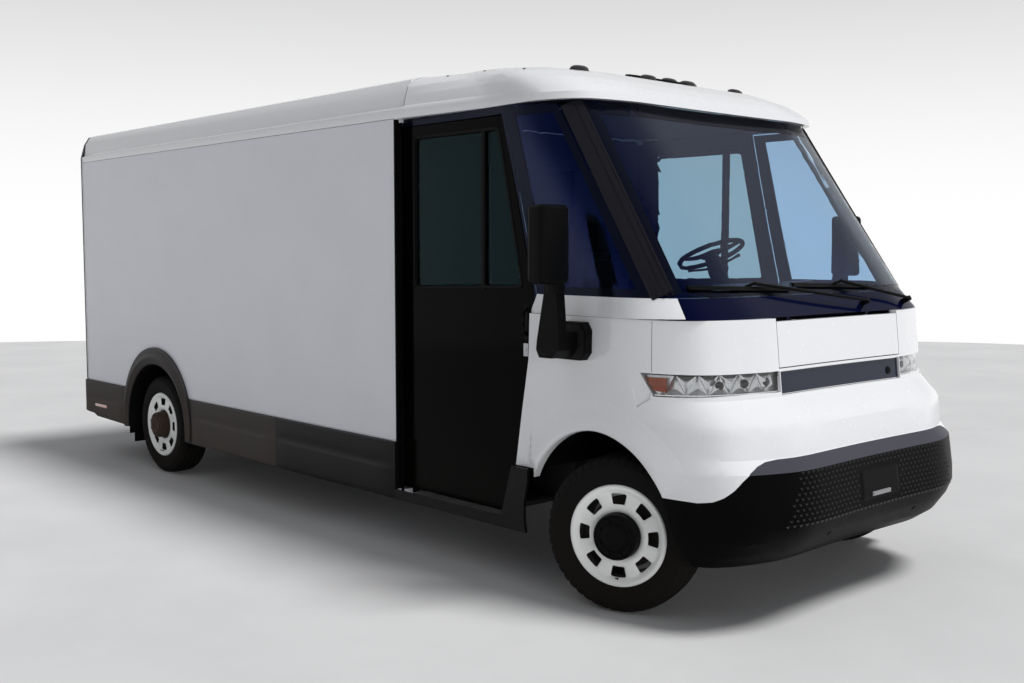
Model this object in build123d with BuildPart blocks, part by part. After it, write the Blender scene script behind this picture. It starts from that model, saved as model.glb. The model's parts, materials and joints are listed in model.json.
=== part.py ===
from build123d import *
import math
import os

# Electric delivery van. Sizes are in millimetres: +X is forward, +Y left and +Z up.
# The origin is on the ground under the middle of the van.

# Overall and running gear
half_length = 3377
front_clear_x = half_length + 60
half_width = 1080
wheelbase = 4560
front_axle_x = 2583
rear_axle_x = front_axle_x - wheelbase
tyre_radius = 365
tyre_width = 224
bead_radius = 218
flange_radius = 235
rim_width = 206
wheel_plane_y = 946
kingpin_y = 866
steer_at_rest = 20
spindle_radius = 30
spindle_clearance = 0.05
disc_offset = 66
hub_radius = 100
slot_count = 8
slot_radius = 168

# Body levels
cladding_bottom_z = 286
panel_bottom_z = 612
panel_top_z = 2390
floor_top_z = 700
floor_thickness = 88
rail_top_z = 560
rail_height = 150
rail_bottom_z = rail_top_z - rail_height
rail_width = 70
rail_centre_y = 465
tow_bolt_x = -3045
tow_bolt_pitch = 150
tow_bolt_radius = 6.6
belt_z = 1460
cowl_z = 1367
roof_top_z = 2645

# Cargo body
cargo_rear_x = -3248
cargo_front_x = 1021
wall_thickness = 60
pocket_rear_x = 150
pocket_gap_outer_y = 1035
pocket_gap_inner_y = 960
pocket_lining_y = 925
pocket_floor_z = 330
pocket_top_z = 2375
cladding_thickness = 15
roof_skin = 40
rear_frame_depth = 35
rear_opening_half_width = 930
rear_opening_top_z = 2320

# Cab doors
door_outer_y = 1020
door_thickness = 45
door_rear_x = 1000
door_bottom_z = 346
door_top_z = 2345
door_gap = 6
door_travel = 800
glass_thickness = 6

# Cab form: each plan section is (height, start of the curve, nose, half width, squareness)
cab_rear_x = cargo_front_x
lower_sections = [
    (cladding_bottom_z, 2300, half_length - 162, 1030, 5.4),
    (340, 2300, half_length - 85, 1044, 5.4),
    (420, 2300, half_length - 27, 1053, 5.4),
    (484, 2300, half_length, 1056, 5.4),
    (560, 2300, half_length - 3, 1056, 5.4),
    (714, 2300, half_length - 27, 1056, 5.4),
    (770, 2300, half_length - 82, 1056, 5.4),
    (895, 2300, half_length - 95, 1056, 5.4),
    (925, 2300, half_length - 112, 1055, 5.4),
    (1016, 2300, half_length - 214, 1052, 5.4),
    (cowl_z, 2300, half_length - 250, 1045, 5.4),
]
upper_sections = [
    (cowl_z, 2300, half_length - 297, 1030, 8.0),
    (belt_z, 2250, half_length - 385, 1020, 8.0),
    (panel_top_z, 1500, 2345, 1018, 8.0),
]
roof_sections = [
    (panel_top_z, 1700, 2395, 1040, 7.0, 1080),
    (2425, 1700, 2386, 1038, 7.0, 1080),
    (2465, 1680, 2335, 1028, 6.5, 1068),
    (2510, 1640, 2262, 1014, 6.0, 1058),
    (2560, 1560, 2150, 985, 5.0, 1042),
    (2592, 1460, 2012, 945, 4.4, 1016),
    (2615, 1370, 1870, 880, 3.8, 956),
    (2632, 1290, 1720, 790, 3.3, 830),
    (2642, 1220, 1600, 660, 3.0, 690),
    (2649, 1160, 1430, 470, 2.7, 500),
    (2652, 1130, 1330, 330, 2.5, 350),
]
shell_thickness = 40
frame_thickness = 45
core_overrun = 20
roof_cap_rear_x = 1090

# Front wheel arch and rear wheel arch, in side view
front_arch_x = 2523
front_arch_z = 390
front_arch_radius = 448
rear_arch_z = 340
rear_arch_radius = 482
rear_trim_z = 398
rear_trim_radius = 550
wheelhouse_y = 610
rear_wheelhouse_y = 790
liner_thickness = 4

# Lamps, light bar and hood, in front view
hood_half_width = 530
hood_bottom_z = 1141
hood_top_z = 1352
hood_gap = 5
lamp_recess = 12
hinge_x = 3085
hinge_z = 1345
hood_thickness = 30
flap_thickness = 18
flap_x = 2620
flap_z = 1040
flap_width = 150
flap_height = 170
flap_hinge_y = 1061.3
light_bar_half_width = 522
light_bar_bottom_z = 1022
light_bar_top_z = 1130

os.makedirs("parts", exist_ok=True)


def plan_section(height, rear_x, rear_y, start_x, nose_x, side_y, power):
    """The right half of a plan section: a straight side, then a superellipse round to the nose."""
    reach = nose_x - start_x
    curve = []
    for angle in (90, 65, 45, 25, 0):
        along = math.cos(math.radians(angle)) ** (2 / power) if angle < 90 else 0
        across = math.sin(math.radians(angle)) ** (2 / power) if angle > 0 else 0
        curve.append((start_x + reach * along, -side_y * across))
    with BuildSketch(Plane.XY.offset(height)) as section:
        with BuildLine():
            Line((rear_x, -rear_y), curve[0])
            Spline(*curve, tangents=((1, 0), (0, 1)))
            Polyline(curve[-1], (rear_x, 0), (rear_x, -rear_y))
        make_face()
    return section.sketch


def cab_loft(sections, inset, rear_y=None, rear_x=cab_rear_x, overrun=0):
    """The right half of a form, lofted through plan sections and drawn in by the inset.

    An inner form may run past both ends.
    """
    plans = []
    for index, section in enumerate(sections):
        height, start_x, nose_x, side_y, power = section[:5]
        if index == 0:
            height -= overrun
        if index == len(sections) - 1:
            height += overrun
        rear = section[5] if len(section) > 5 else (rear_y or side_y)
        plans.append(
            plan_section(
                height, rear_x - overrun, rear - inset, start_x, nose_x - inset, side_y - inset, power,
            )
        )
    loft(plans, ruled=True)


with BuildPart() as lower_form:
    cab_loft(lower_sections, 0, 1076)
with BuildPart() as lamp_form:
    cab_loft(lower_sections, lamp_recess, 1076)
with BuildPart() as lower_core:
    cab_loft(lower_sections, shell_thickness, 1076, overrun=core_overrun)
with BuildPart() as cowl_form:
    cab_loft(upper_sections[:2], 0)
with BuildPart() as cowl_core:
    cab_loft(upper_sections[:2], frame_thickness)
with BuildPart() as upper_form:
    cab_loft(upper_sections[1:], 0)
with BuildPart() as upper_core:
    cab_loft(upper_sections[1:], frame_thickness)
with BuildPart() as hood_core:
    cab_loft(lower_sections, hood_thickness, 1076, overrun=core_overrun)
with BuildPart() as flap_core:
    cab_loft(lower_sections, flap_thickness, 1076, overrun=core_overrun)
with BuildPart() as flap_recess_core:
    cab_loft(lower_sections, flap_thickness + hood_gap + 1, 1076, overrun=core_overrun)
with BuildPart() as roof_form:
    cab_loft(roof_sections, 0, rear_x=roof_cap_rear_x)
with BuildPart() as roof_core:
    cab_loft(
        [(s[0] - (1 if n == 0 else roof_skin), *s[1:]) for n, s in enumerate(roof_sections)],
        roof_skin, rear_x=roof_cap_rear_x,
    )
with BuildPart() as glass_core:
    cab_loft(upper_sections[1:], glass_thickness)


def save(part, name):
    part.label = name
    export_step(part, f"parts/{name}.step")


def side_shape(points, low_y, high_y, mode=Mode.ADD):
    """A prism with a side-view outline, from low_y to high_y."""
    with BuildSketch(Plane(origin=(0, low_y, 0), x_dir=(1, 0, 0), z_dir=(0, -1, 0))) as outline:
        with BuildLine():
            Polyline(*points, close=True)
        make_face()
    extrude(outline.sketch, amount=low_y - high_y, mode=mode)


def front_shape(points, low_x, high_x, mode=Mode.ADD):
    """A prism with a front-view outline (Y across, Z up), from low_x to high_x."""
    with BuildSketch(Plane.YZ.offset(low_x)) as outline:
        with BuildLine():
            Polyline(*points, close=True)
        make_face()
    extrude(outline.sketch, amount=high_x - low_x, mode=mode)


def block(low, high, mode=Mode.ADD):
    """A box between two corners."""
    centre = tuple((a + b) / 2 for a, b in zip(low, high))
    with Locations(centre):
        Box(*[b - a for a, b in zip(low, high)], mode=mode)


def both_sides(low, high, mode=Mode.ADD):
    """The same box on the right and on the left; low and high give the left one."""
    block(low, high, mode)
    block((low[0], -high[1], low[2]), (high[0], -low[1], high[2]), mode)


def rod(start, end, radius, mode=Mode.ADD):
    """A round bar between two points."""
    direction = Vector(*end) - Vector(*start)
    with BuildSketch(Plane(origin=start, z_dir=direction)) as end_face:
        Circle(radius)
    extrude(end_face.sketch, amount=direction.length, mode=mode)


# Wheels ------------------------------------------------------------------------------------

def wheel_planes(centre, outward):
    """The plane that holds the wheel's half section, and the plane of its disc."""
    section = Plane(origin=centre, x_dir=outward, z_dir=Vector(*outward).cross(Vector(0, 0, 1)))
    forward = Vector(0, 0, 1).cross(Vector(*outward))
    disc = Plane(origin=centre, x_dir=forward, z_dir=outward)
    return section, disc


def tyre_part(centre, outward):
    section, disc = wheel_planes(centre, outward)
    half = tyre_width / 2
    with BuildPart() as tyre:
        with BuildSketch(section):
            with BuildLine():
                Polyline((-88, bead_radius + 1), (88, bead_radius + 1), (98, flange_radius + 4))
                ThreePointArc((98, flange_radius + 4), (half, 292), (98, 340))
                Line((98, 340), (86, 357))
                ThreePointArc((86, 357), (0, tyre_radius), (-86, 357))
                Line((-86, 357), (-98, 340))
                ThreePointArc((-98, 340), (-half, 292), (-98, flange_radius + 4))
                Line((-98, flange_radius + 4), (-88, bead_radius + 1))
            make_face()
        revolve(axis=Axis(centre, outward))
    return tyre.part


def rim_part(centre, outward):
    section, disc = wheel_planes(centre, outward)
    half = rim_width / 2
    with BuildPart() as rim:
        with BuildSketch(section):
            with BuildLine():
                Polyline(
                    (-half, flange_radius), (-half + 6, flange_radius), (-half + 10, bead_radius),
                    (half - 10, bead_radius), (half - 6, flange_radius), (half, flange_radius),
                    (half, flange_radius - 6), (half - 8, 208), (disc_offset + 6, 200),
                    (disc_offset + 12, 150), (disc_offset + 2, hub_radius), (disc_offset + 12, 92),
                    (disc_offset + 16, spindle_radius + spindle_clearance),
                    (disc_offset - 30, spindle_radius + spindle_clearance),
                    (disc_offset - 30, 70), (disc_offset - 8, 92), (disc_offset, 150),
                    (disc_offset - 8, 196), (20, 204), (-half + 10, 208), (-half, flange_radius - 6),
                    close=True,
                )
            make_face()
        revolve(axis=Axis(centre, outward))
        with BuildSketch(disc):
            with PolarLocations(slot_radius, slot_count):
                RectangleRounded(48, 68, 14)
        extrude(amount=disc_offset + 40, mode=Mode.SUBTRACT)
    return rim.part


def front_wheel(side):
    """Centre and outward direction of a front wheel at its resting steer angle."""
    turn = math.radians(steer_at_rest)
    outward = (-side * math.sin(turn), side * math.cos(turn), 0)
    offset = wheel_plane_y - kingpin_y
    centre = (
        front_axle_x + outward[0] * offset,
        side * kingpin_y + outward[1] * offset,
        tyre_radius,
    )
    return centre, outward


wheels = {
    "front_right": front_wheel(-1),
    "front_left": front_wheel(1),
    "rear_right": ((rear_axle_x, -wheel_plane_y, tyre_radius), (0, -1, 0)),
    "rear_left": ((rear_axle_x, wheel_plane_y, tyre_radius), (0, 1, 0)),
}
for place, (centre, outward) in wheels.items():
    save(tyre_part(centre, outward), f"tyre_{place}")
    save(rim_part(centre, outward), f"rim_{place}")

# Knuckles: kingpin post, spindle and brake shield, turned with the front wheels.
post_bottom_z = 235
post_top_z = 495
for side, place in ((-1, "right"), (1, "left")):
    centre, outward = front_wheel(side)
    kingpin = Vector(front_axle_x, side * kingpin_y, tyre_radius)
    axle = Vector(*outward)
    with BuildPart() as knuckle:
        rod((kingpin.X, kingpin.Y, post_bottom_z), (kingpin.X, kingpin.Y, post_top_z), 28)
        rod(kingpin, kingpin + axle * (wheel_plane_y - kingpin_y + disc_offset + 6), spindle_radius)
        rod(kingpin + axle * 56, kingpin + axle * 62, 165)
    save(knuckle.part, f"knuckle_{place}")

with BuildPart() as front_suspension:
    for side in (-1, 1):
        for low_z, high_z in ((205, post_bottom_z - 0.5), (post_top_z + 0.5, 522)):
            inner = side * 360
            bend = side * 600
            outer = side * kingpin_y
            with BuildSketch(Plane.XY.offset(low_z)):
                with BuildLine():
                    Polyline(
                        (front_axle_x - 130, inner), (front_axle_x + 130, inner),
                        (front_axle_x + 40, bend), (front_axle_x + 32, outer),
                        (front_axle_x - 32, outer), (front_axle_x - 40, bend), close=True,
                    )
                make_face()
                with Locations((front_axle_x, outer)):
                    Circle(32)
            extrude(amount=high_z - low_z)
    block((front_axle_x - 150, -440, 205), (front_axle_x + 150, 440, rail_bottom_z))
    both_sides((front_axle_x - 60, 340, 400), (front_axle_x + 60, 400, 522))
save(front_suspension.part, "front_suspension")

with BuildPart() as rear_axle:
    rod((rear_axle_x, -850, tyre_radius), (rear_axle_x, 850, tyre_radius), 42)
    rod((rear_axle_x, -240, tyre_radius), (rear_axle_x, 240, tyre_radius), 160)
    for side in (-1, 1):
        spindle_end = side * (wheel_plane_y + disc_offset + 6)
        rod((rear_axle_x, side * 800, tyre_radius), (rear_axle_x, spindle_end, tyre_radius), spindle_radius)
        shield_y = side * (kingpin_y + 30)
        rod((rear_axle_x, side * 800, tyre_radius), (rear_axle_x, shield_y, tyre_radius), 60)
        rod((rear_axle_x, shield_y - side * 8, tyre_radius), (rear_axle_x, shield_y, tyre_radius), 165)
        block(
            (rear_axle_x - 620, side * 590 - 35, 300), (rear_axle_x + 620, side * 590 + 35, 325),
        )
        for end in (-620, 590):
            block(
                (rear_axle_x + end, side * 590 - 35, 300), (rear_axle_x + end + 30, side * 590 + 35, rail_top_z),
            )
save(rear_axle.part, "rear_axle")

# Chassis ------------------------------------------------------------------------------------

with BuildPart() as chassis_frame:
    both_sides(
        (-3235, rail_centre_y - rail_width / 2, rail_bottom_z),
        (2960, rail_centre_y + rail_width / 2, rail_top_z),
    )
    for x in (-3200, -2750, -1500, 1650, 2100, 2900):
        block((x - 40, -rail_centre_y, rail_bottom_z + 20), (x + 40, rail_centre_y, rail_top_z - 10))
    block((front_axle_x - 170, -600, 485), (front_axle_x + 170, 600, 535), mode=Mode.SUBTRACT)
    with BuildSketch(Plane.XY.offset(rail_bottom_z)):
        with Locations((tow_bolt_x, 0)):
            with GridLocations(tow_bolt_pitch, 2 * rail_centre_y, 2, 2):
                Circle(tow_bolt_radius)
    extrude(amount=40, mode=Mode.SUBTRACT)
save(chassis_frame.part, "chassis_frame")

with BuildPart() as battery_pack:
    block((-1450, -430, 262), (1600, 430, rail_top_z - 12))
save(battery_pack.part, "battery_pack")

with BuildPart() as floor:
    block((cargo_rear_x, -1019, rail_top_z), (pocket_rear_x - 30, 1019, floor_top_z))
    block((pocket_rear_x - 30, -924, rail_top_z), (cargo_front_x, 924, floor_top_z))
    block((cargo_front_x, -700, rail_top_z), (2110, 700, floor_top_z))
    block((2110, -600, rail_top_z), (2960, 600, floor_top_z))
    both_sides((2040, 600, rail_top_z - 10), (2110, 710, floor_top_z + 10), mode=Mode.SUBTRACT)
    both_sides(
        (rear_axle_x - 486, rear_wheelhouse_y, rail_top_z),
        (rear_axle_x + 486, 1020, floor_top_z), mode=Mode.SUBTRACT,
    )
save(floor.part, "floor")

with BuildPart() as entry_steps:
    both_sides((cargo_front_x, 670, 360), (2040, 700, rail_top_z))
    both_sides((cargo_front_x, 700, 360), (1900, 966, 384))
save(entry_steps.part, "entry_steps")

# Cargo body ----------------------------------------------------------------------------------

for side, place in ((-1, "right"), (1, "left")):
    with BuildPart() as cargo_wall:
        def wall_block(low, high, mode=Mode.ADD):
            ys = sorted((side * low[1], side * high[1]))
            block((low[0], ys[0], low[2]), (high[0], ys[1], high[2]), mode)
        wall_block(
            (cargo_rear_x, half_width - wall_thickness, panel_bottom_z),
            (pocket_rear_x, half_width, panel_top_z),
        )
        wall_block(
            (pocket_rear_x - 30, pocket_lining_y, pocket_floor_z - 30),
            (cargo_front_x, half_width, panel_top_z),
        )
        wall_block(
            (pocket_rear_x, pocket_gap_inner_y, pocket_floor_z),
            (cargo_front_x, pocket_gap_outer_y, pocket_top_z), mode=Mode.SUBTRACT,
        )
        with BuildSketch(Plane.XZ.offset(-1200)):
            with Locations((rear_axle_x, rear_arch_z)):
                Circle(rear_arch_radius)
        extrude(amount=2400, mode=Mode.SUBTRACT)
    save(cargo_wall.part, f"cargo_wall_{place}")

roof_side = [
    (half_width, panel_top_z), (half_width, 2437), (1066, 2441), (1050, 2540), (1010, 2602), (930, 2626),
]
with BuildPart() as cargo_roof:
    outer = roof_side + [(500, 2641), (0, roof_top_z)]
    mirrored = [(-y, z) for y, z in reversed(outer[:-1])]
    front_shape(outer + mirrored, cargo_rear_x, roof_cap_rear_x)
    inner = [(half_width - wall_thickness, panel_top_z), (1000, 2540), (940, 2590), (500, 2601), (0, 2605)]
    inner_mirrored = [(-y, z) for y, z in reversed(inner[:-1])]
    front_shape(inner + inner_mirrored, cargo_rear_x, cargo_front_x - 30, mode=Mode.SUBTRACT)
    front_shape(inner + inner_mirrored, cargo_front_x, roof_cap_rear_x, mode=Mode.SUBTRACT)
save(cargo_roof.part, "cargo_roof")

with BuildPart() as rear_frame:
    frame_x = cargo_rear_x - rear_frame_depth
    front_shape(
        [(y, z) for y, z in ((-1080, 470), (1080, 470), (1080, 2437), (1050, 2540), (1010, 2602), (930, 2626),
                             (0, roof_top_z), (-930, 2626), (-1010, 2602), (-1050, 2540), (-1080, 2437))],
        frame_x, cargo_rear_x,
    )
    block(
        (frame_x, -rear_opening_half_width, floor_top_z),
        (cargo_rear_x, rear_opening_half_width, rear_opening_top_z), mode=Mode.SUBTRACT,
    )
save(rear_frame.part, "rear_frame")

with BuildPart() as rear_door:
    block(
        (cargo_rear_x + 0.5, -rear_opening_half_width - 20, floor_top_z + 2),
        (cargo_rear_x + 26, rear_opening_half_width + 20, rear_opening_top_z + 20),
    )
    slat_pitch = 150
    for row in range(1, 11):
        z = floor_top_z + row * slat_pitch
        block(
            (cargo_rear_x + 0.5, -rear_opening_half_width - 20, z - 4),
            (cargo_rear_x + 6, rear_opening_half_width + 20, z + 4), mode=Mode.SUBTRACT,
        )
save(rear_door.part, "rear_door")

with BuildPart() as rear_bumper:
    block((-half_length, -900, 430), (frame_x, 900, 470))
    block((-half_length, -900, 380), (-half_length + 30, 900, 470))
    both_sides((frame_x - 10, 430, 430), (-3240, 500, 470))
save(rear_bumper.part, "rear_bumper")

with BuildPart() as tail_lamps:
    for side in (-1, 1):
        for z in (1000, 1130, 2440):
            with BuildSketch(Plane.YZ.offset(frame_x - 14)):
                with Locations((side * 1002, z)):
                    SlotOverall(110, 56, rotation=90)
            extrude(amount=14)
save(tail_lamps.part, "tail_lamps")

with BuildPart() as bulkhead:
    block((cargo_front_x - 36, -924, floor_top_z), (cargo_front_x, 924, panel_top_z))
    block((cargo_front_x - 36, -330, floor_top_z), (cargo_front_x, 330, 2180), mode=Mode.SUBTRACT)
    block((cargo_front_x - 70, -340, 2230), (cargo_front_x - 36, 920, 2262))
save(bulkhead.part, "bulkhead")

with BuildPart() as bulkhead_door:
    block((cargo_front_x - 66, -345, floor_top_z + 6), (cargo_front_x - 42, 345, 2222))
    block((cargo_front_x - 66, -120, 1500), (cargo_front_x - 42, 120, 1900), mode=Mode.SUBTRACT)
    both_sides((cargo_front_x - 66, 250, 2222), (cargo_front_x - 42, 330, 2229.6))
save(bulkhead_door.part, "bulkhead_door")

# Cab ------------------------------------------------------------------------------------------

door_outline = [
    (door_rear_x, door_bottom_z), (1896, door_bottom_z), (1975, 593), (2030, 946), (2060, 1141),
    (2064, belt_z), (1838, door_top_z), (door_rear_x, door_top_z),
]
window_outline = [(1112, 1467), (1990, 1490), (1812, 2290), (1112, 2290)]
divider_outline = [(1678, 1440), (1702, 1440), (1702, 2300), (1678, 2300)]
door_hole = [
    (cab_rear_x - 60, door_bottom_z - door_gap), (1900, door_bottom_z - door_gap), (1981, 593), (2036, 946),
    (2066, 1141), (2070, belt_z + 2), (1844, door_top_z + door_gap), (cab_rear_x - 60, door_top_z + door_gap),
]
bumper_half_outline = [
    (1100, 200), (1100, 594), (1050, 590), (1015, 587), (990, 597), (966, 618), (936, 652), (908, 689),
    (875, 721), (827, 746), (777, 761), (709, 767),
]
bumper_outline = bumper_half_outline + [(-y, z) for y, z in reversed(bumper_half_outline)]
lamp_front_outline = [(527, 1131), (527, 1036), (700, 1040), (860, 1036), (1000, 1030), (1100, 1030), (1100, 1131)]
lamp_side_outline = [(2778, 1131), (2844, 1034), (2844, 1000), (front_clear_x, 1000), (front_clear_x, 1131)]


def front_arch_cut():
    """The front wheel opening, through the whole width."""
    with BuildSketch(Plane.XZ.offset(-1200)) as opening:
        with Locations((front_arch_x, front_arch_z)):
            Circle(front_arch_radius)
        with BuildLine():
            Polyline(
                (2090, 200), (2090, front_arch_z), (2870, front_arch_z), (2925, 560), (3051, 240), (3051, 200),
                close=True,
            )
        make_face()
    extrude(opening.sketch, amount=2400, mode=Mode.SUBTRACT)


def lower_shell():
    add(lower_form.part)
    add(lower_core.part, mode=Mode.SUBTRACT)
    front_arch_cut()
    side_shape(door_hole, -1200, 1200, mode=Mode.SUBTRACT)


with BuildPart() as lamp_block:
    for side in (-1, 1):
        front_shape([(side * y, z) for y, z in lamp_front_outline], 2700, front_clear_x)
    side_shape(lamp_side_outline, -1200, 1200, mode=Mode.INTERSECT)


with BuildPart() as flap_recess:
    add(lower_form.part)
    add(flap_recess_core.part, mode=Mode.SUBTRACT)
    block(
        (flap_x - flap_width / 2 - hood_gap, -1090, flap_z - flap_height / 2 - hood_gap),
        (flap_x + flap_width / 2 + hood_gap, -990, flap_z + flap_height / 2 + hood_gap), mode=Mode.INTERSECT,
    )
    mirror(about=Plane.XZ, mode=Mode.REPLACE)

with BuildPart() as bezel_cut:
    with BuildSketch(Plane.XY.offset(973)):
        with BuildLine():
            Polyline((2713, -1062), (2840, -1036), (2840, -1120), (2713, -1120), close=True)
        make_face()
    extrude(amount=183)
    side_shape([(2713, 1156), (2840, 1131), (2840, 1016), (2773, 973)], -1200, 0, mode=Mode.INTERSECT)

with BuildPart() as nose_panel:
    lower_shell()
    block((0, -1200, cladding_bottom_z - 10), (2110, 1200, 608), mode=Mode.SUBTRACT)
    front_shape(bumper_outline, 2600, front_clear_x, mode=Mode.SUBTRACT)
    add(lamp_block.part, mode=Mode.SUBTRACT)
    add(bezel_cut.part, mode=Mode.SUBTRACT)
    block((3000, -light_bar_half_width, light_bar_bottom_z), (front_clear_x, light_bar_half_width, light_bar_top_z), mode=Mode.SUBTRACT)
    block((3000, -hood_half_width, hood_bottom_z), (front_clear_x, hood_half_width, 1500), mode=Mode.SUBTRACT)
    mirror(about=Plane.XZ)
    add(flap_recess.part, mode=Mode.SUBTRACT)
save(nose_panel.part, "nose_panel")

with BuildPart() as lower_bumper:
    lower_shell()
    front_shape(bumper_outline, 2600, front_clear_x, mode=Mode.INTERSECT)
    mirror(about=Plane.XZ)
save(lower_bumper.part, "lower_bumper")

with BuildPart() as hood:
    add(lower_form.part)
    add(hood_core.part, mode=Mode.SUBTRACT)
    block(
        (3000, -hood_half_width + hood_gap, hood_bottom_z + hood_gap),
        (front_clear_x, hood_half_width - hood_gap, hood_top_z), mode=Mode.INTERSECT,
    )
    block((hinge_x, -330, hinge_z - 5), (hinge_x + 20, -300, hinge_z + 5))
    rod((hinge_x, -330, hinge_z), (hinge_x, -300, hinge_z), 6)
    mirror(about=Plane.XZ)
save(hood.part, "hood")

flap_box = (
    (flap_x - flap_width / 2, -1090, flap_z - flap_height / 2),
    (flap_x + flap_width / 2, -990, flap_z + flap_height / 2),
)
with BuildPart() as charge_flap:
    add(lower_form.part)
    add(flap_core.part, mode=Mode.SUBTRACT)
    block(*flap_box, mode=Mode.INTERSECT)
    mirror(about=Plane.XZ, mode=Mode.REPLACE)
    flap_pin = (flap_x - flap_width / 2 - 2.5, flap_hinge_y)
    rod((*flap_pin, flap_z - 60), (*flap_pin, flap_z + 60), 2.9)
    block((flap_pin[0], flap_hinge_y - 4.2, flap_z - 60), (flap_pin[0] + 5, flap_hinge_y - 0.2, flap_z + 60))
save(charge_flap.part, "charge_flap")

with BuildPart() as headlamps:
    add(lamp_form.part)
    add(lower_core.part, mode=Mode.SUBTRACT)
    add(lamp_block.part, mode=Mode.INTERSECT)
    mirror(about=Plane.XZ)
save(headlamps.part, "headlamps")

with BuildPart() as light_bar:
    add(lamp_form.part)
    add(lower_core.part, mode=Mode.SUBTRACT)
    block((3000, -light_bar_half_width, light_bar_bottom_z), (front_clear_x, light_bar_half_width, light_bar_top_z), mode=Mode.INTERSECT)
    mirror(about=Plane.XZ)
save(light_bar.part, "light_bar")

screen_outline = [(-985, belt_z), (985, belt_z), (930, panel_top_z), (-930, panel_top_z)]
quarter_outline = [(2086, belt_z), (2850, belt_z), (2235, 2380), (1862, 2380)]

with BuildPart() as cab_frame:
    add(upper_form.part)
    add(upper_core.part, mode=Mode.SUBTRACT)
    front_shape(screen_outline, 2180, front_clear_x, mode=Mode.SUBTRACT)
    side_shape(quarter_outline, -1200, 1200, mode=Mode.SUBTRACT)
    side_shape(door_hole, -1200, 1200, mode=Mode.SUBTRACT)
    add(cowl_form.part)
    add(cowl_core.part, mode=Mode.SUBTRACT)
    side_shape(door_hole, -1200, 1200, mode=Mode.SUBTRACT)
    block((hinge_x - 25, -360, hinge_z - 5), (hinge_x, -330.4, hinge_z + 5))
    block((hinge_x - 25, -360, hinge_z), (hinge_x - 8, -330.4, cowl_z))
    rod((hinge_x, -360, hinge_z), (hinge_x, -330.4, hinge_z), 6)
    mirror(about=Plane.XZ)
save(cab_frame.part, "cab_frame")

with BuildPart() as windscreen:
    add(upper_form.part)
    add(glass_core.part, mode=Mode.SUBTRACT)
    front_shape(screen_outline, 2180, front_clear_x, mode=Mode.INTERSECT)
    mirror(about=Plane.XZ)
save(windscreen.part, "windscreen")

with BuildPart() as quarter_glass:
    add(upper_form.part)
    add(glass_core.part, mode=Mode.SUBTRACT)
    side_shape(quarter_outline, -1200, 1200, mode=Mode.INTERSECT)
    front_shape([(-990, belt_z - 10), (990, belt_z - 10), (990, 2500), (-990, 2500)], 1500, front_clear_x, mode=Mode.SUBTRACT)
    mirror(about=Plane.XZ)
save(quarter_glass.part, "quarter_glass")

with BuildPart() as cab_roof:
    add(roof_form.part)
    add(roof_core.part, mode=Mode.SUBTRACT)
    mirror(about=Plane.XZ)
save(cab_roof.part, "cab_roof")

for side, place in ((-1, "right"), (1, "left")):
    faces = sorted((side * door_outer_y, side * (door_outer_y - door_thickness)))
    with BuildPart() as cab_door:
        side_shape(door_outline, *faces)
        side_shape(window_outline, *faces, mode=Mode.SUBTRACT)
        side_shape(divider_outline, *faces)
        block((door_rear_x, side * 995 - 12, door_top_z), (door_rear_x + 20, side * 995 + 12, pocket_top_z - 0.4))
    save(cab_door.part, f"cab_door_{place}")
    glass_faces = sorted((side * (door_outer_y - 12), side * (door_outer_y - 12 - glass_thickness)))
    with BuildPart() as door_glass:
        side_shape(window_outline, *glass_faces)
        side_shape(divider_outline, *glass_faces, mode=Mode.SUBTRACT)
    save(door_glass.part, f"door_glass_{place}")

def arch_liner(x, z, radius, inner_y, outer_y, floor_z):
    """A wheelhouse on one side: a thin round roof with an inner wall, open below floor_z."""
    side = 1 if outer_y > 0 else -1
    for depth, hollow in ((outer_y, radius - liner_thickness), (inner_y + side * liner_thickness, 0)):
        low, high = sorted((inner_y, depth))
        with BuildSketch(Plane.XZ.offset(-high)) as ring:
            with Locations((x, z)):
                Circle(radius)
                if hollow:
                    Circle(hollow, mode=Mode.SUBTRACT)
            with Locations((x, floor_z - 500)):
                Rectangle(1200, 1000, mode=Mode.SUBTRACT)
        extrude(ring.sketch, amount=high - low)


with BuildPart() as arch_liners:
    for side in (-1, 1):
        arch_liner(front_arch_x, front_arch_z, front_arch_radius + 30, side * 600, side * 1000, 600)
        arch_liner(rear_axle_x, rear_arch_z, rear_arch_radius, side * rear_wheelhouse_y, side * 1020, 450)
save(arch_liners.part, "arch_liners")

with BuildPart() as cladding:
    for side in (-1, 1):
        low, high = sorted((side * half_width, side * (half_width + cladding_thickness)))
        side_shape(
            [
                (frame_x, 606), (frame_x, 488), (frame_x + 60, 370), (-3060, 318), (-2470, 305),
                (-1400, 290), (0, cladding_bottom_z), (2100, cladding_bottom_z), (2100, 606),
                (1985, 606), (1905, 338), (cargo_front_x, 338), (cargo_front_x, 606),
            ],
            low, high,
        )
        with BuildSketch(Plane.XZ.offset(-high)):
            with Locations((rear_axle_x, rear_trim_z)):
                Circle(rear_trim_radius)
            with Locations((rear_axle_x, 0)):
                Rectangle(1400, 1212, mode=Mode.SUBTRACT)
        extrude(amount=high - low)
    with BuildSketch(Plane.XZ.offset(-1200)):
        with Locations((rear_axle_x, rear_arch_z)):
            Circle(rear_arch_radius)
    extrude(amount=2400, mode=Mode.SUBTRACT)
    front_arch_cut()
save(cladding.part, "cladding")

# Cab fittings -----------------------------------------------------------------------------------

with BuildPart() as marker_lamps:
    for y in (-650, -210, 0, 210, 650):
        x = 2010 if y else 2060
        with BuildSketch(Plane.XY.offset(2560)):
            with Locations((x, y)):
                Ellipse(60, 38)
        extrude(amount=45, taper=20)
    add(roof_form.part, mode=Mode.SUBTRACT)
    split(bisect_by=Plane.XZ, keep=Keep.TOP)
    mirror(about=Plane.XZ)
save(marker_lamps.part, "marker_lamps")

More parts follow.
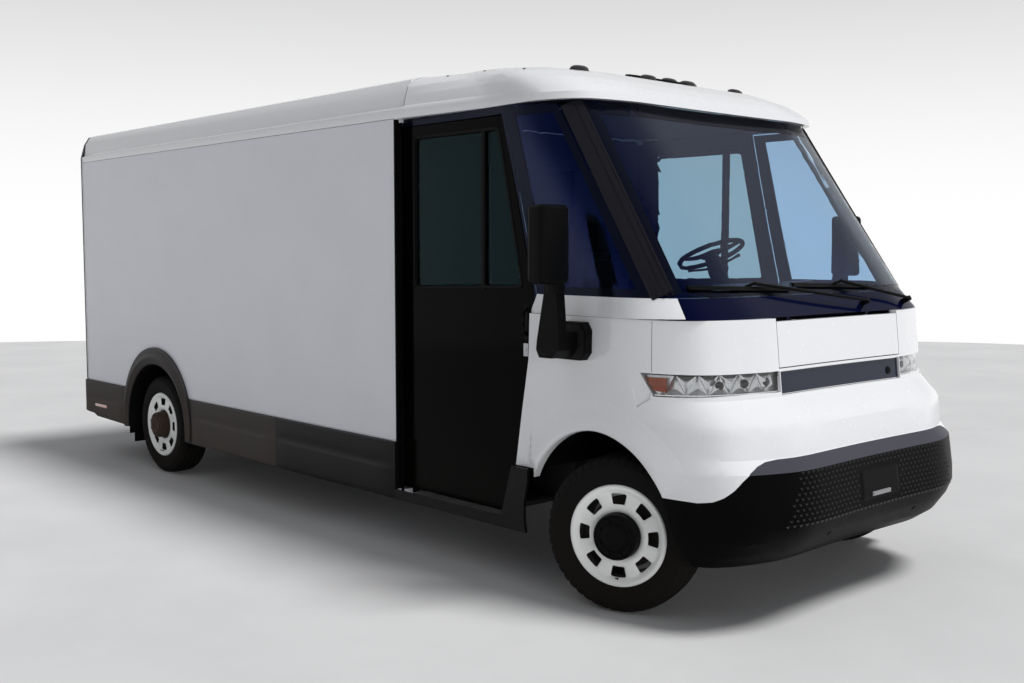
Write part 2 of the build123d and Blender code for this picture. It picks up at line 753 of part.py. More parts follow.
wiper_blades = [((-900, 1509), (-200, 1490), 340), ((-150, 1509), (500, 1490), 750)]
with BuildPart() as blade_outlines:
    for tip, heel, pivot_y in wiper_blades:
        front_shape(
            [(tip[0], tip[1] - 9), (heel[0], heel[1] - 9), (heel[0], heel[1] + 9), (tip[0], tip[1] + 9)], 2700, 3100,
        )
with BuildPart() as wipers:
    cab_loft(upper_sections[1:], -14)
    add(upper_form.part, mode=Mode.SUBTRACT)
    mirror(about=Plane.XZ)
    add(blade_outlines.part, mode=Mode.INTERSECT)
    for tip, heel, pivot_y in wiper_blades:
        middle = ((tip[0] + heel[0]) / 2, (tip[1] + heel[1]) / 2)
        screen_x = 2970 - (middle[0] / 1000) ** 2 * 25
        rod((3030, pivot_y, 1395), (3090, pivot_y, 1425), 14)
        rod((3084, pivot_y, 1424), (screen_x + 24, middle[0] + 60, middle[1] + 22), 8)
        rod((screen_x + 24, middle[0] + 60, middle[1] + 22), (screen_x - 2, middle[0], middle[1]), 7)
    add(cowl_form.part, mode=Mode.SUBTRACT)
    mirror(cowl_form.part, about=Plane.XZ, mode=Mode.SUBTRACT)
    add(upper_form.part, mode=Mode.SUBTRACT)
    mirror(upper_form.part, about=Plane.XZ, mode=Mode.SUBTRACT)
save(wipers.part, "wipers")

mirror_arm = [
    (2362, 1545), (2425, 1545), (2446, 1300), (2440, 1215), (2400, 1178), (2318, 1178), (2298, 1215), (2304, 1262),
]
mirror_pad = [
    (2300, 1165), (2462, 1165), (2492, 1200), (2492, 1305), (2466, 1342), (2330, 1342), (2300, 1310),
]
with BuildPart() as mirror_heads:
    both_sides((2350, 1170, 1535), (2435, 1340, 1865))
    fillet(mirror_heads.edges().filter_by(Axis.Z), 26)
    fillet(mirror_heads.faces().filter_by(Axis.Z).edges(), 14)
with BuildPart() as mirrors:
    add(mirror_heads.part)
    for side in (-1, 1):
        side_shape(mirror_arm, *sorted((side * 1172, side * 1225)))
        side_shape(mirror_pad, *sorted((side * 1030, side * 1098)))
        side_shape(mirror_arm[2:], *sorted((side * 1098, side * 1172)))
    add(lower_form.part, mode=Mode.SUBTRACT)
    mirror(lower_form.part, about=Plane.XZ, mode=Mode.SUBTRACT)
save(mirrors.part, "mirrors")

with BuildPart() as dashboard:
    front_shape([(-900, 1120), (900, 1120), (900, 1400), (-900, 1400)], 2560, 2850)
    block((2850, -590, floor_top_z), (2880, 590, 900))
    block((2850, -900, 880), (2880, 900, 1400))
save(dashboard.part, "dashboard")

wheel_centre = Vector(1985, 480, 1640)
column_direction = Vector(-0.42, 0, 0.9075)
with BuildPart() as steering_wheel:
    with BuildSketch(Plane(origin=wheel_centre, x_dir=(0, 1, 0), z_dir=column_direction)):
        Circle(205)
        Circle(178, mode=Mode.SUBTRACT)
        Circle(60)
        for angle in (0, 120, 240):
            with Locations(Location((0, 0, 0), (0, 0, angle))):
                with Locations((0, 95)):
                    Rectangle(30, 190)
    extrude(amount=22)
save(steering_wheel.part, "steering_wheel")

with BuildPart() as steering_column:
    rod(wheel_centre - column_direction * 1010, wheel_centre - column_direction * 0.4, 30)
    block((2350, 420, floor_top_z), (2470, 540, floor_top_z + 60))
save(steering_column.part, "steering_column")

with BuildPart() as seats:
    block((1130, 250, floor_top_z), (1560, 710, 950))
    block((1110, 240, 950), (1600, 720, 1080))
    block((1090, 250, 1080), (1190, 710, 1860))
save(seats.part, "seats")
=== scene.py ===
# %% [markdown]
# # A walk-in electric delivery van
# The van is packed as a fixed frame of named parts. This lesson dresses it: each finish is made from
# shader nodes, and the small forms that catch the light, such as tread, lamps and seals, are built as
# meshes.

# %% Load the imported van
import json
import math

import bmesh
import bpy
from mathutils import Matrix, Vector
from mathutils.bvhtree import BVHTree


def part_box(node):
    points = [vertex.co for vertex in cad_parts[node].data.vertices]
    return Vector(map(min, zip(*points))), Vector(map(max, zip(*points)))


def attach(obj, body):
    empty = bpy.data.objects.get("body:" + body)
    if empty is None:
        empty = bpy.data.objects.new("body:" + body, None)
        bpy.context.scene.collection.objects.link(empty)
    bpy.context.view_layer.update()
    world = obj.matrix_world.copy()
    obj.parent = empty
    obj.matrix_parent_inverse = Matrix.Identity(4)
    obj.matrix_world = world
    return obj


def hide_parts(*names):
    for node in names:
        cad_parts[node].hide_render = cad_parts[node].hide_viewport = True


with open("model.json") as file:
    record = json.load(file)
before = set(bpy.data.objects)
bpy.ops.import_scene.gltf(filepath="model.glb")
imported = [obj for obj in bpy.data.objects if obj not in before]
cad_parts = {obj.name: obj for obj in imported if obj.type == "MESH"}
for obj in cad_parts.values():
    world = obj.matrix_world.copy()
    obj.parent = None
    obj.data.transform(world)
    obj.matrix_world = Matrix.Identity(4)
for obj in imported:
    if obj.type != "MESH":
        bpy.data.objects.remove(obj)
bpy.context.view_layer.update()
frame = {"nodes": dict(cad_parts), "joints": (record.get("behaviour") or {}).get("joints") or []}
node = frame["nodes"]

# %% [markdown]
# The view stands low at the front right corner of the van, as a person with a short lens would. A camera
# looks along its own -Z, so the direction of sight is given as a vector and turned into a rotation.
# Blender shows only objects that are linked to the scene, so one helper makes and links each of them.

# %% Camera
def add_object(name, data):
    """A new object that is linked to the scene."""
    obj = bpy.data.objects.new(name, data)
    bpy.context.scene.collection.objects.link(obj)
    return obj


camera_data = bpy.data.cameras.new("camera")
camera_data.lens = 40.3
camera_data.sensor_width = 36
camera = add_object("camera", camera_data)
camera.location = (6.140, -4.890, 1.672)
camera.rotation_euler = Vector((-0.7356, 0.6728, -0.0790)).to_track_quat("-Z", "Y").to_euler()
bpy.context.scene.camera = camera
print("camera", [round(x, 2) for x in camera.location])

# %% [markdown]
# Every new piece is a mesh that rides on one of the van's bodies. One helper makes the object, gives it
# its finish and smooths it, with edges sharper than an angle kept crisp.

# %% Make a piece from a mesh
def piece(name, mesh, finish, body="body", stands_for=(), sharp=35):
    """A new piece from a mesh, or from a list of meshes that become one."""
    if isinstance(mesh, list):
        mesh = joined(mesh)
    mesh.materials.clear()
    mesh.materials.append(finish)
    mesh.shade_smooth()
    mesh.set_sharp_from_angle(angle=math.radians(sharp))
    obj = add_object(name, mesh)
    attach(obj, body)
    if stands_for:
        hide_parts(*stands_for)
    return obj

# %% [markdown]
# A mesh can come from plain lists of points and faces, from an edited mesh, or from several meshes put
# together. One object for a whole row of rivets keeps the list of pieces short.

# %% Meshes from points, from an edited mesh and from several meshes
def mesh_from(verts, faces):
    mesh = bpy.data.meshes.new("mesh")
    mesh.from_pydata([tuple(v) for v in verts], [], faces)
    mesh.validate()
    return mesh


def mesh_of(bm, name="mesh", outwards=True):
    """The edited mesh as a finished one. outwards turns all its faces to the outside first."""
    if outwards:
        bmesh.ops.recalc_face_normals(bm, faces=bm.faces)
    mesh = bpy.data.meshes.new(name)
    bm.to_mesh(mesh)
    bm.free()
    return mesh


def joined(meshes):
    bm = bmesh.new()
    for mesh in meshes:
        bm.from_mesh(mesh)
    return mesh_of(bm)

# %% [markdown]
# Most forms here are rows of points joined by four-sided faces: a turned profile, a swept section or a
# strip. One helper numbers those faces. A row can close on itself, and the last row can join the first.

# %% Faces between rows of points
def grid_faces(rows, count, around=False, closed=False, turned=False):
    """Faces for rows that each have the same count of points. turned makes them face the other way."""
    faces = []
    for row in range(rows if closed else rows - 1):
        a, b = row * count, (row + 1) % rows * count
        for i in range(count if around else count - 1):
            j = (i + 1) % count
            faces.append((a + i, b + i, b + j, a + j) if turned else (a + i, a + j, b + j, b + i))
    return faces


print("faces of a closed ring of 3 rows of 2 points", grid_faces(3, 2, closed=True))

# %% [markdown]
# Round things are lathed: a profile of (distance along the axis, radius) is turned about the axis. The
# axis can point anywhere, which suits wheels that are already steered.

# %% Lathe
def turned_frame(centre, axis):
    axis = Vector(axis).normalized()
    upright = abs(axis.z) > 0.9
    side = (axis.orthogonal() if upright else Vector((0, 0, 1)).cross(axis)).normalized()
    up = axis.cross(side)
    return Vector(centre), axis, side, up


def spoke(side, up, turn):
    """The direction at an angle round an axis, from side towards up."""
    return side * math.cos(turn) + up * math.sin(turn)


def lathe(profile, centre, axis, segments=96, closed=False, change=None):
    origin, axis, side, up = turned_frame(centre, axis)
    verts = []
    for k in range(segments):
        out = spoke(side, up, 2 * math.pi * k / segments)
        for along, radius in profile:
            if change:
                along, radius = change(k, along, radius)
            verts.append(origin + axis * along + out * radius)
    return mesh_from(verts, grid_faces(segments, len(profile), closed, True, turned=True))

# %% [markdown]
# Handles and stalks are tubes along a few points, and plates and pads are boxes with rounded edges. Real
# edges are never sharp, and the small round is what shows as a bright line in the light.

# %% Tube and soft box
def tube(points, radius, sides=12, taper=None):
    points = [Vector(p) for p in points]
    verts = []
    for i, p in enumerate(points):
        along = (points[min(i + 1, len(points) - 1)] - points[max(i - 1, 0)]).normalized()
        across = along.cross(Vector((0, 0, 1)) if abs(along.z) < 0.95 else Vector((1, 0, 0))).normalized()
        up = across.cross(along)
        size = radius if taper is None else radius * taper[i]
        verts += [p + spoke(across, up, 2 * math.pi * k / sides) * size for k in range(sides)]
    faces = grid_faces(len(points), sides, around=True)
    faces.append(tuple(range(sides))[::-1])
    faces.append(tuple(range((len(points) - 1) * sides, len(points) * sides)))
    return mesh_from(verts, faces)


def soft_box(low, high, radius, steps=3):
    low, high = Vector(low), Vector(high)
    bm = bmesh.new()
    bmesh.ops.create_cube(bm, size=1)
    for v in bm.verts:
        v.co = Vector((low[i] + (v.co[i] + 0.5) * (high[i] - low[i]) for i in range(3)))
    bmesh.ops.bevel(bm, geom=bm.edges[:], offset=radius, segments=steps, profile=0.5, affect="EDGES")
    return mesh_of(bm)


def side_box(side, x, y, z, radius, steps=3):
    """A soft box from its ranges of x, y and z. y is measured outwards from the middle of the van."""
    y_low, y_high = sorted((side * y[0], side * y[1]))
    return soft_box((x[0], y_low, z[0]), (x[1], y_high, z[1]), radius, steps)

# %% [markdown]
# Trim lies on curved panels, so its points are found by casting a ray at the panel. A strip then follows
# the surface at a chosen height, whatever the panel's curve is.

# %% Points on a panel
beside, ahead, above = 1.4, 3.8, 3.0
RIGHT, LEFT = -1, 1
BOTH = (RIGHT, LEFT)


def panel_tree(*names):
    bm = bmesh.new()
    for name in names:
        bm.from_mesh(node[name].data)
    tree = BVHTree.FromBMesh(bm)
    bm.free()
    return tree


def on_panel(tree, point, direction):
    """The first point on the panels along a ray, and the direction that the surface faces there."""
    hit, normal, *_ = tree.ray_cast(Vector(point), Vector(direction))
    if hit is not None and normal.dot(Vector(direction)) > 0:
        normal = -normal
    return hit, normal


def from_side(tree, x, z, side):
    return on_panel(tree, (x, side * beside, z), (0, -side, 0))


def from_front(tree, y, z):
    return on_panel(tree, (ahead, y, z), (-1, 0, 0))


def from_above(tree, x, y):
    return on_panel(tree, (x, y, above), (0, 0, -1))


print("rays start", beside, "m beside,", ahead, "m ahead of and", above, "m above the van's origin")

# %% [markdown]
# A seal, a trim or a painted line is a narrow strip on the surface. It stands a little proud in the
# middle and its edges sink into the panel, so that no gap shows beside it.

# %% Strips that follow a panel
def along_line(points, step):
    """Points along a broken line, about a step apart."""
    found = []
    for a, b in zip(points, points[1:]):
        a, b = Vector(a), Vector(b)
        count = max(1, round((b - a).length / step))
        found += [a.lerp(b, i / count) for i in range(count)]
    return found + [Vector(points[-1])]


def ribbon(found, width, height, sunk=0.001):
    """A raised strip through points that each come with the direction the surface faces."""
    found = [(p, n) for p, n in found if p is not None]
    verts = []
    for i, (p, n) in enumerate(found):
        along = (found[min(i + 1, len(found) - 1)][0] - found[max(i - 1, 0)][0]).normalized()
        across = along.cross(n).normalized() * width / 2
        for side, lift in ((-1, -sunk), (-0.8, height), (0.8, height), (1, -sunk)):
            verts.append(p + across * side + n * lift)
    return mesh_from(verts, grid_faces(len(found), 4))


def strip(tree, points, direction, width, height, step=0.04, sunk=0.001):
    return ribbon([on_panel(tree, p, direction) for p in along_line(points, step)], width, height, sunk)

# %% [markdown]
# ## Finishes
# Effects that several finishes share are node groups. Road film is the dull dust that gathers low on the
# body, grain is the fine unevenness of a moulding or of paint, and edge wear lightens raised edges.

# %% [markdown]
# The helpers below make one node each. Every input takes a plain value or another node's output, so that
# a whole recipe reads as a few nested calls.

# %% Nodes from their values
def group(name, inputs, outputs):
    tree = bpy.data.node_groups.new(name, "ShaderNodeTree")
    for label, kind, value in inputs:
        socket = tree.interface.new_socket(label, in_out="INPUT", socket_type=kind)
        socket.default_value = value
    for label, kind in outputs:
        tree.interface.new_socket(label, in_out="OUTPUT", socket_type=kind)
    return tree, tree.nodes.new("NodeGroupInput"), tree.nodes.new("NodeGroupOutput")


def feed(tree, socket, given):
    """Link another node's output to a socket, or set a plain value on it."""
    if isinstance(given, bpy.types.NodeSocket):
        tree.links.new(given, socket)
    else:
        socket.default_value = given


def math_node(tree, operation, a, b, clamp=False):
    made = tree.nodes.new("ShaderNodeMath")
    made.operation = operation
    made.use_clamp = clamp
    for socket, given in zip(made.inputs, (a, b)):
        feed(tree, socket, given)
    return made.outputs[0]


def noise(tree, vector, scale, detail=3.0, rough=0.5):
    made = tree.nodes.new("ShaderNodeTexNoise")
    for label, given in (("Detail", detail), ("Roughness", rough), ("Scale", scale), ("Vector", vector)):
        feed(tree, made.inputs[label], given)
    return made.outputs["Fac"]


def fade(tree, value, start, end, low=0.0, high=1.0):
    made = tree.nodes.new("ShaderNodeMapRange")
    made.interpolation_type = "SMOOTHSTEP"
    for socket, given in zip(made.inputs, (value, start, end, low, high)):
        feed(tree, socket, given)
    return made.outputs[0]


def mix_colours(tree, share, a, b):
    """One colour that goes from a to b. Each is a plain colour or another node's output."""
    made = tree.nodes.new("ShaderNodeMix")
    made.data_type = "RGBA"
    for label, given in (("Factor", share), ("A", a), ("B", b)):
        feed(tree, made.inputs[label], (*given, 1) if isinstance(given, tuple) else given)
    return made.outputs["Result"]


def object_place(tree):
    return tree.nodes.new("ShaderNodeTexCoord").outputs["Object"]


def upward_part(tree, vector):
    apart = tree.nodes.new("ShaderNodeSeparateXYZ")
    tree.links.new(vector, apart.inputs[0])
    return apart.outputs["Z"]

# %% [markdown]
# Dust from the road sits thickest near the ground and in soft patches. The film is a mask that fades with
# height and is broken up by noise, and it mixes a dusty colour over the clean one.

# %% Road film
film_group, film_in, film_out = group(
    "road_film",
    [("Clean", "NodeSocketColor", (1, 1, 1, 1)), ("Film", "NodeSocketColor", (0.2, 0.18, 0.16, 1)),
     ("Top", "NodeSocketFloat", 0.8), ("Amount", "NodeSocketFloat", 0.3)],
    [("Color", "NodeSocketColor"), ("Mask", "NodeSocketFloat")],
)
film_place = object_place(film_group)
low_down = fade(film_group, upward_part(film_group, film_place), film_in.outputs["Top"], 0.0)
patches = fade(film_group, noise(film_group, film_place, 3.5, 6.0, 0.6), 0.25, 0.75, 0.35, 1.0)
film_spread = math_node(film_group, "MULTIPLY", low_down, patches)
film_mask = math_node(film_group, "MULTIPLY", film_spread, film_in.outputs["Amount"], True)
filmed = mix_colours(film_group, film_mask, film_in.outputs["Clean"], film_in.outputs["Film"])
film_group.links.new(filmed, film_out.inputs["Color"])
film_group.links.new(film_mask, film_out.inputs["Mask"])
print("group", film_group.name)

# %% [markdown]
# Paint, plastic and cloth are all uneven at their own scale. The grain is a fine noise whose scale and
# stretch each finish chooses, and it drives both the roughness and a very small bump.

# %% Grain
grain_group, grain_in, grain_out = group(
    "grain",
    [("Scale", "NodeSocketFloat", 300.0), ("Stretch", "NodeSocketVector", (1, 1, 1))],
    [("Height", "NodeSocketFloat")],
)
stretch = grain_group.nodes.new("ShaderNodeVectorMath")
stretch.operation = "MULTIPLY"
grain_group.links.new(object_place(grain_group), stretch.inputs[0])
grain_group.links.new(grain_in.outputs["Stretch"], stretch.inputs[1])
fine = noise(grain_group, stretch.outputs[0], grain_in.outputs["Scale"], 4.0, 0.6)
grain_group.links.new(fine, grain_out.inputs["Height"])
print("group", grain_group.name)

# %% [markdown]
# Edges rub paler with use. Pointiness finds the raised edges, and noise breaks them into flecks, which
# looks less even than a plain outline would.

# %% Edge wear
wear_group, wear_in, wear_out = group(
    "edge_wear",
    [("Scale", "NodeSocketFloat", 60.0), ("Amount", "NodeSocketFloat", 0.5)],
    [("Mask", "NodeSocketFloat")],
)
shape = wear_group.nodes.new("ShaderNodeNewGeometry")
raised = fade(wear_group, shape.outputs["Pointiness"], 0.51, 0.58)
flecks = noise(wear_group, object_place(wear_group), wear_in.outputs["Scale"], 5.0, 0.7)
broken = fade(wear_group, flecks, 0.4, 0.7)
worn = math_node(wear_group, "MULTIPLY", math_node(wear_group, "MULTIPLY", raised, broken),
                 wear_in.outputs["Amount"], True)
wear_group.links.new(worn, wear_out.inputs["Mask"])
print("groups", [g.name for g in bpy.data.node_groups])

# %% [markdown]
# A finish is one Principled BSDF with the shared groups placed in front of it, each with its own values.
# The constant numbers stay on the shader's own sockets. Some plastics get a painted sheen: their upward
# faces are painted paler, in place of the sky's reflection on them.

# %% One finish from its values
def new_material(name, **values):
    """A material, its node tree and its shader, with the given values on the shader's own sockets."""
    made = bpy.data.materials.new(name)
    made.use_nodes = True
    shader = made.node_tree.nodes["Principled BSDF"]
    for label, value in values.items():
        shader.inputs[label.replace("_", " ")].default_value = value
    return made, made.node_tree, shader


def placed(tree, shared, **values):
    """A shared group placed in a material with its own values."""
    made = tree.nodes.new("ShaderNodeGroup")
    made.node_tree = shared
    for label, value in values.items():
        made.inputs[label].default_value = value
    return made


def finish(name, colour, rough, metal=0.0, coat=0.0, film=0.25, film_top=0.9,
           film_colour=(0.17, 0.15, 0.13), grain=350.0, stretch=(1, 1, 1), bump=0.05, wear=0.0,
           wear_colour=(0.6, 0.6, 0.6), tone=0.04, gloss=0.5, shine=(1, 1, 1), painted_sheen=None):
    made, tree, shader = new_material(name, Metallic=metal, Coat_Weight=coat, Coat_Roughness=0.06,
                                      Specular_IOR_Level=gloss, Specular_Tint=(*shine, 1))
    cloud = noise(tree, object_place(tree), 2.5, 4.0)
    colour_out = mix_colours(tree, cloud, tuple(c * (1 - tone) for c in colour),
                             tuple(min(1, c * (1 + tone)) for c in colour))
    if wear:
        mask = placed(tree, wear_group, Amount=wear).outputs["Mask"]
        colour_out = mix_colours(tree, mask, colour_out, wear_colour)
    # Painted sheen: upward faces get a paler colour that stands in for the sky's reflection.
    if painted_sheen:
        facing = tree.nodes.new("ShaderNodeNewGeometry").outputs["Normal"]
        sheen_share = fade(tree, upward_part(tree, facing), 0.15, 0.65)
        colour_out = mix_colours(tree, sheen_share, colour_out, painted_sheen)
    dust = placed(tree, film_group, Film=(*film_colour, 1), Top=film_top, Amount=film)
    tree.links.new(colour_out, dust.inputs["Clean"])
    tree.links.new(dust.outputs["Color"], shader.inputs["Base Color"])
    uneven = placed(tree, grain_group, Scale=grain, Stretch=stretch)
    spread = fade(tree, uneven.outputs["Height"], 0.3, 0.7, rough * 0.85, min(1, rough * 1.15))
    total = math_node(tree, "ADD", spread, math_node(tree, "MULTIPLY", dust.outputs["Mask"], 0.45), True)
    tree.links.new(total, shader.inputs["Roughness"])
    lift = tree.nodes.new("ShaderNodeBump")
    lift.inputs["Strength"].default_value = bump
    lift.inputs["Distance"].default_value = 0.002
    tree.links.new(uneven.outputs["Height"], lift.inputs["Height"])
    tree.links.new(lift.outputs["Normal"], shader.inputs["Normal"])
    return made

# %% [markdown]
# The body has three paints: a deep gloss white on the nose and roof, a duller white on the sides of the
# load space, and gloss black on the doors and pillars. Paint is smooth, so its grain is large and faint.

# %% Paints
white_gloss = finish("white_gloss", (0.80, 0.81, 0.83), 0.24, coat=0.5, film=0.08, grain=40, bump=0.01,
                     tone=0.012)
black_gloss = finish("black_gloss", (0.0012, 0.0012, 0.0012), 0.10, film=0.8, film_top=0.95, gloss=0.03,
                     film_colour=(0.008, 0.0055, 0.0035), grain=40, bump=0.01, tone=0.3)
pillar_black = finish("pillar_black", (0.003, 0.0035, 0.006), 0.16, film=0.2,
                      film_colour=(0.01, 0.01, 0.01), grain=60, bump=0.01, gloss=0.14,
                      shine=(0.25, 0.35, 1.0))
# The cowl's deep blue is a painted reflection of the sky on gloss black paint.
cowl_painted_sky_blue = finish("cowl_painted_sky_blue", (0.002, 0.003, 0.020), 0.12, film=0.1, film_colour=(0.004, 0.004, 0.012),
                   grain=60, bump=0.01, gloss=0.06, shine=(0.25, 0.3, 1.0))
panel_white = finish("panel_white", (0.74, 0.75, 0.80), 0.38, film=0.22, film_top=1.3,
                     film_colour=(0.42, 0.41, 0.42), grain=5.0, stretch=(0.3, 1, 17), bump=0.5, tone=0.045)
print("paints", white_gloss.name, black_gloss.name, panel_white.name)

# %% [markdown]
# Bumpers and lower cladding are moulded in colour: a dark warm grey with a visible grain and a dry
# surface that holds dust. The same recipe, darker and finer, serves mirrors and wipers.

# %% Moulded plastics
# Upward faces of these plastics carry a painted sheen, paler than the plastic, in place of the sky's
# reflection.
cladding_grey = finish("cladding_grey", (0.0025, 0.0024, 0.0026), 0.42, film=0.3, film_top=0.70, gloss=0.12,
                       film_colour=(0.010, 0.008, 0.007), grain=420, bump=0.28, wear=0.1,
                       wear_colour=(0.05, 0.047, 0.045), painted_sheen=(0.050, 0.051, 0.064))
bumper_grey = finish("bumper_grey", (0.0012, 0.0012, 0.0015), 0.38, film=0.25, film_top=0.5, gloss=0.04,
                     film_colour=(0.006, 0.005, 0.005), grain=420, bump=0.2, wear=0.05,
                     wear_colour=(0.03, 0.03, 0.03), painted_sheen=(0.062, 0.063, 0.078))
cladding_dusty = finish("cladding_dusty", (0.012, 0.0105, 0.0105), 0.5, film=0.95, film_top=1.1, gloss=0.25,
                        film_colour=(0.075, 0.060, 0.052), grain=420, bump=0.28, wear=0.3,
                        wear_colour=(0.08, 0.07, 0.065), painted_sheen=(0.07, 0.062, 0.06))
moulded_black = finish("moulded_black", (0.0018, 0.0018, 0.0021), 0.4, film=0.2,
                       film_colour=(0.008, 0.007, 0.006), grain=500, bump=0.18, wear=0.25,
                       wear_colour=(0.02, 0.02, 0.02), gloss=0.06)
trim_grey = finish("trim_grey", (0.008, 0.009, 0.012), 0.6, film=0.0, grain=380, bump=0.12, gloss=0.15)
gap_dark = finish("gap_dark", (0.05, 0.05, 0.055), 0.7, film=0.0, grain=300, bump=0.0)
# This grey marks the roof seam, and it also paints the shadow of the roof's gutter.
gap_and_gutter_shade_grey = finish("gap_and_gutter_shade_grey", (0.30, 0.31, 0.33), 0.5, film=0.1, grain=300, bump=0.05)
scale_black = finish("scale_black", (0.014, 0.014, 0.015), 0.22, film=0.1, film_colour=(0.04, 0.04, 0.04),
                     grain=300, bump=0.03, tone=0.1, gloss=0.4)
grip_grey = finish("grip_grey", (0.26, 0.26, 0.27), 0.45, film=0.1, grain=300, bump=0.08)
stud_grey = finish("stud_grey", (0.03, 0.03, 0.032), 0.3, film=0.1, grain=300, bump=0.05)
pillar_grey = finish("pillar_grey", (0.006, 0.0055, 0.007), 0.30, film=0.1, film_colour=(0.01, 0.01, 0.01),
                     grain=300, bump=0.05, gloss=0.22, shine=(0.8, 0.8, 1.0))
print("plastics", cladding_grey.name, moulded_black.name)

# %% [markdown]
# Rubber, seat cloth and the headlining scatter light without shine. They use the same recipe with high
# roughness, little gloss and a coarser bump, and the tyres also carry dust and rubbed edges.

# %% Rubber and cloth
seal_rubber = finish("seal_rubber", (0.002, 0.002, 0.002), 0.55, film=0.2,
                     film_colour=(0.006, 0.005, 0.004), grain=700, bump=0.1, gloss=0.08)
tyre_rubber = finish("tyre_rubber", (0.0050, 0.0048, 0.0046), 0.75, film=0.7, film_top=0.70, gloss=0.10,
                     film_colour=(0.017, 0.014, 0.012), grain=260, bump=0.3, tone=0.25, wear=0.5,
                     wear_colour=(0.045, 0.04, 0.037))
seat_cloth = finish("seat_cloth", (0.012, 0.012, 0.014), 0.9, film=0.0, grain=900, bump=0.4, tone=0.15,
                    gloss=0.2)
lining_black = finish("lining_black", (0.010, 0.012, 0.018), 0.9, film=0.0, grain=700, bump=0.2, gloss=0.1)
print("soft finishes", tyre_rubber.name, seat_cloth.name)

# %% [markdown]
# Metal parts under the van are painted or bare and always dusty. The wheels are white steel with brake
# dust in their corners.

# %% Metals
wheel_white = finish("wheel_white", (0.86, 0.87, 0.86), 0.30, coat=0.2, film=0.22, film_top=0.60,
                     film_colour=(0.20, 0.17, 0.14), grain=180, bump=0.05, wear=0.3,
                     wear_colour=(0.35, 0.3, 0.25))
chassis_black_and_barrel_shade = finish("chassis_black_and_barrel_shade", (0.008, 0.008, 0.008), 0.5, film=0.5,
                       film_colour=(0.03, 0.026, 0.022), grain=200, bump=0.15, gloss=0.3)
hub_iron = finish("hub_iron", (0.030, 0.018, 0.012), 0.7, film=0.5, film_top=0.7,
                  film_colour=(0.05, 0.03, 0.018), grain=220, bump=0.3, tone=0.3, gloss=0.3)
battery_silver = finish("battery_silver", (0.32, 0.32, 0.33), 0.45, metal=0.8, film=0.5, grain=150,
                        bump=0.1)
bright_metal = finish("bright_metal", (0.75, 0.76, 0.78), 0.22, metal=1.0, film=0.05, grain=300, bump=0.02)
mirror_metal = finish("mirror_metal", (0.9, 0.91, 0.93), 0.04, metal=1.0, film=0.0, grain=30, bump=0.0)
floor_board = finish("floor_board", (0.035, 0.035, 0.037), 0.6, film=0.15, film_top=0.8,
                     film_colour=(0.05, 0.045, 0.04), grain=120, bump=0.2, gloss=0.3)
slat_silver = finish("slat_silver", (0.62, 0.63, 0.65), 0.42, metal=0.3, film=0.2, grain=8.0,
                     stretch=(1, 0.3, 40), bump=0.08)
# Brake iron is darker than bare iron: partly its own colour, partly painted shade behind the wheel's
# openings.
brake_iron_and_shade = finish("brake_iron_and_shade", (0.035, 0.030, 0.027), 0.6, metal=0.5, film=0.3, film_top=0.7, grain=160,
                    bump=0.15, tone=0.2)
edge_grey = finish("edge_grey", (0.52, 0.53, 0.55), 0.4, metal=0.3, film=0.2, grain=200, bump=0.05)
print("metals", wheel_white.name, hub_iron.name)

# %% [markdown]
# Glass is its own recipe: full transmission and a colour that the light picks up on its way through.
# Lamps use the same one, clear, amber or red. Smoked lamps are only glossy and dark.

# %% Glass and lamps
def glass(name, colour, rough=0.02, ior=1.45, clear=1.0, shine=(1, 1, 1)):
    made, tree, shader = new_material(name, Metallic=0.0, Transmission_Weight=clear, IOR=ior,
                                      Specular_Tint=(*shine, 1))
    place = object_place(tree)
    film = fade(tree, noise(tree, place, 5.0, 5.0), 0.45, 0.8, rough, rough + 0.04)
    tree.links.new(film, shader.inputs["Roughness"])
    shade = mix_colours(tree, noise(tree, place, 1.5, 2.0), tuple(colour), tuple(c * 0.94 for c in colour))
    tree.links.new(shade, shader.inputs["Base Color"])
    return made


window_glass = glass("window_glass", (0.53, 0.68, 0.84), 0.0, 1.30, shine=(0.0, 0.08, 0.95))
side_glass = glass("side_glass", (0.42, 0.55, 0.58), 0.0, 1.15, shine=(0.2, 0.9, 1.0))
clear_lens = glass("clear_lens", (0.96, 0.97, 0.98), 0.01, 1.3)
amber_lens = glass("amber_lens", (0.42, 0.06, 0.004), 0.12, 1.3, 0.25)
red_lens = glass("red_lens", (0.75, 0.02, 0.015), 0.1, 1.4, 0.4)
smoked_lens = finish("smoked_lens", (0.008, 0.006, 0.008), 0.1, film=0.05, grain=40, bump=0.0, gloss=0.6)
bar_panel = finish("bar_panel", (0.006, 0.008, 0.022), 0.15, film=0.05, grain=60.0, stretch=(1, 4, 0.2),
                   bump=0.06, tone=0.25, gloss=0.30, shine=(0.7, 0.8, 1.0))
lamp_bowl = finish("lamp_bowl", (0.88, 0.89, 0.90), 0.34, metal=0.65, film=0.0, grain=60, bump=0.05,
                   tone=0.1)
lamp_mirror = finish("lamp_mirror", (0.93, 0.94, 0.95), 0.2, metal=0.8, film=0.0, grain=60, bump=0.03,
                     tone=0.15)
screen_black = finish("screen_black", (0.006, 0.007, 0.009), 0.08, coat=0.6, film=0.0, grain=40, bump=0.0)
reflector_pink = finish("reflector_pink", (0.72, 0.40, 0.36), 0.2, coat=0.8, film=0.15, film_top=0.6,
                        grain=700, bump=0.3)
print("glass", window_glass.name, clear_lens.name)

# %% [markdown]
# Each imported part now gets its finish. A table from finish to part names keeps this readable, and a check
# at the end makes sure that no part is forgotten.

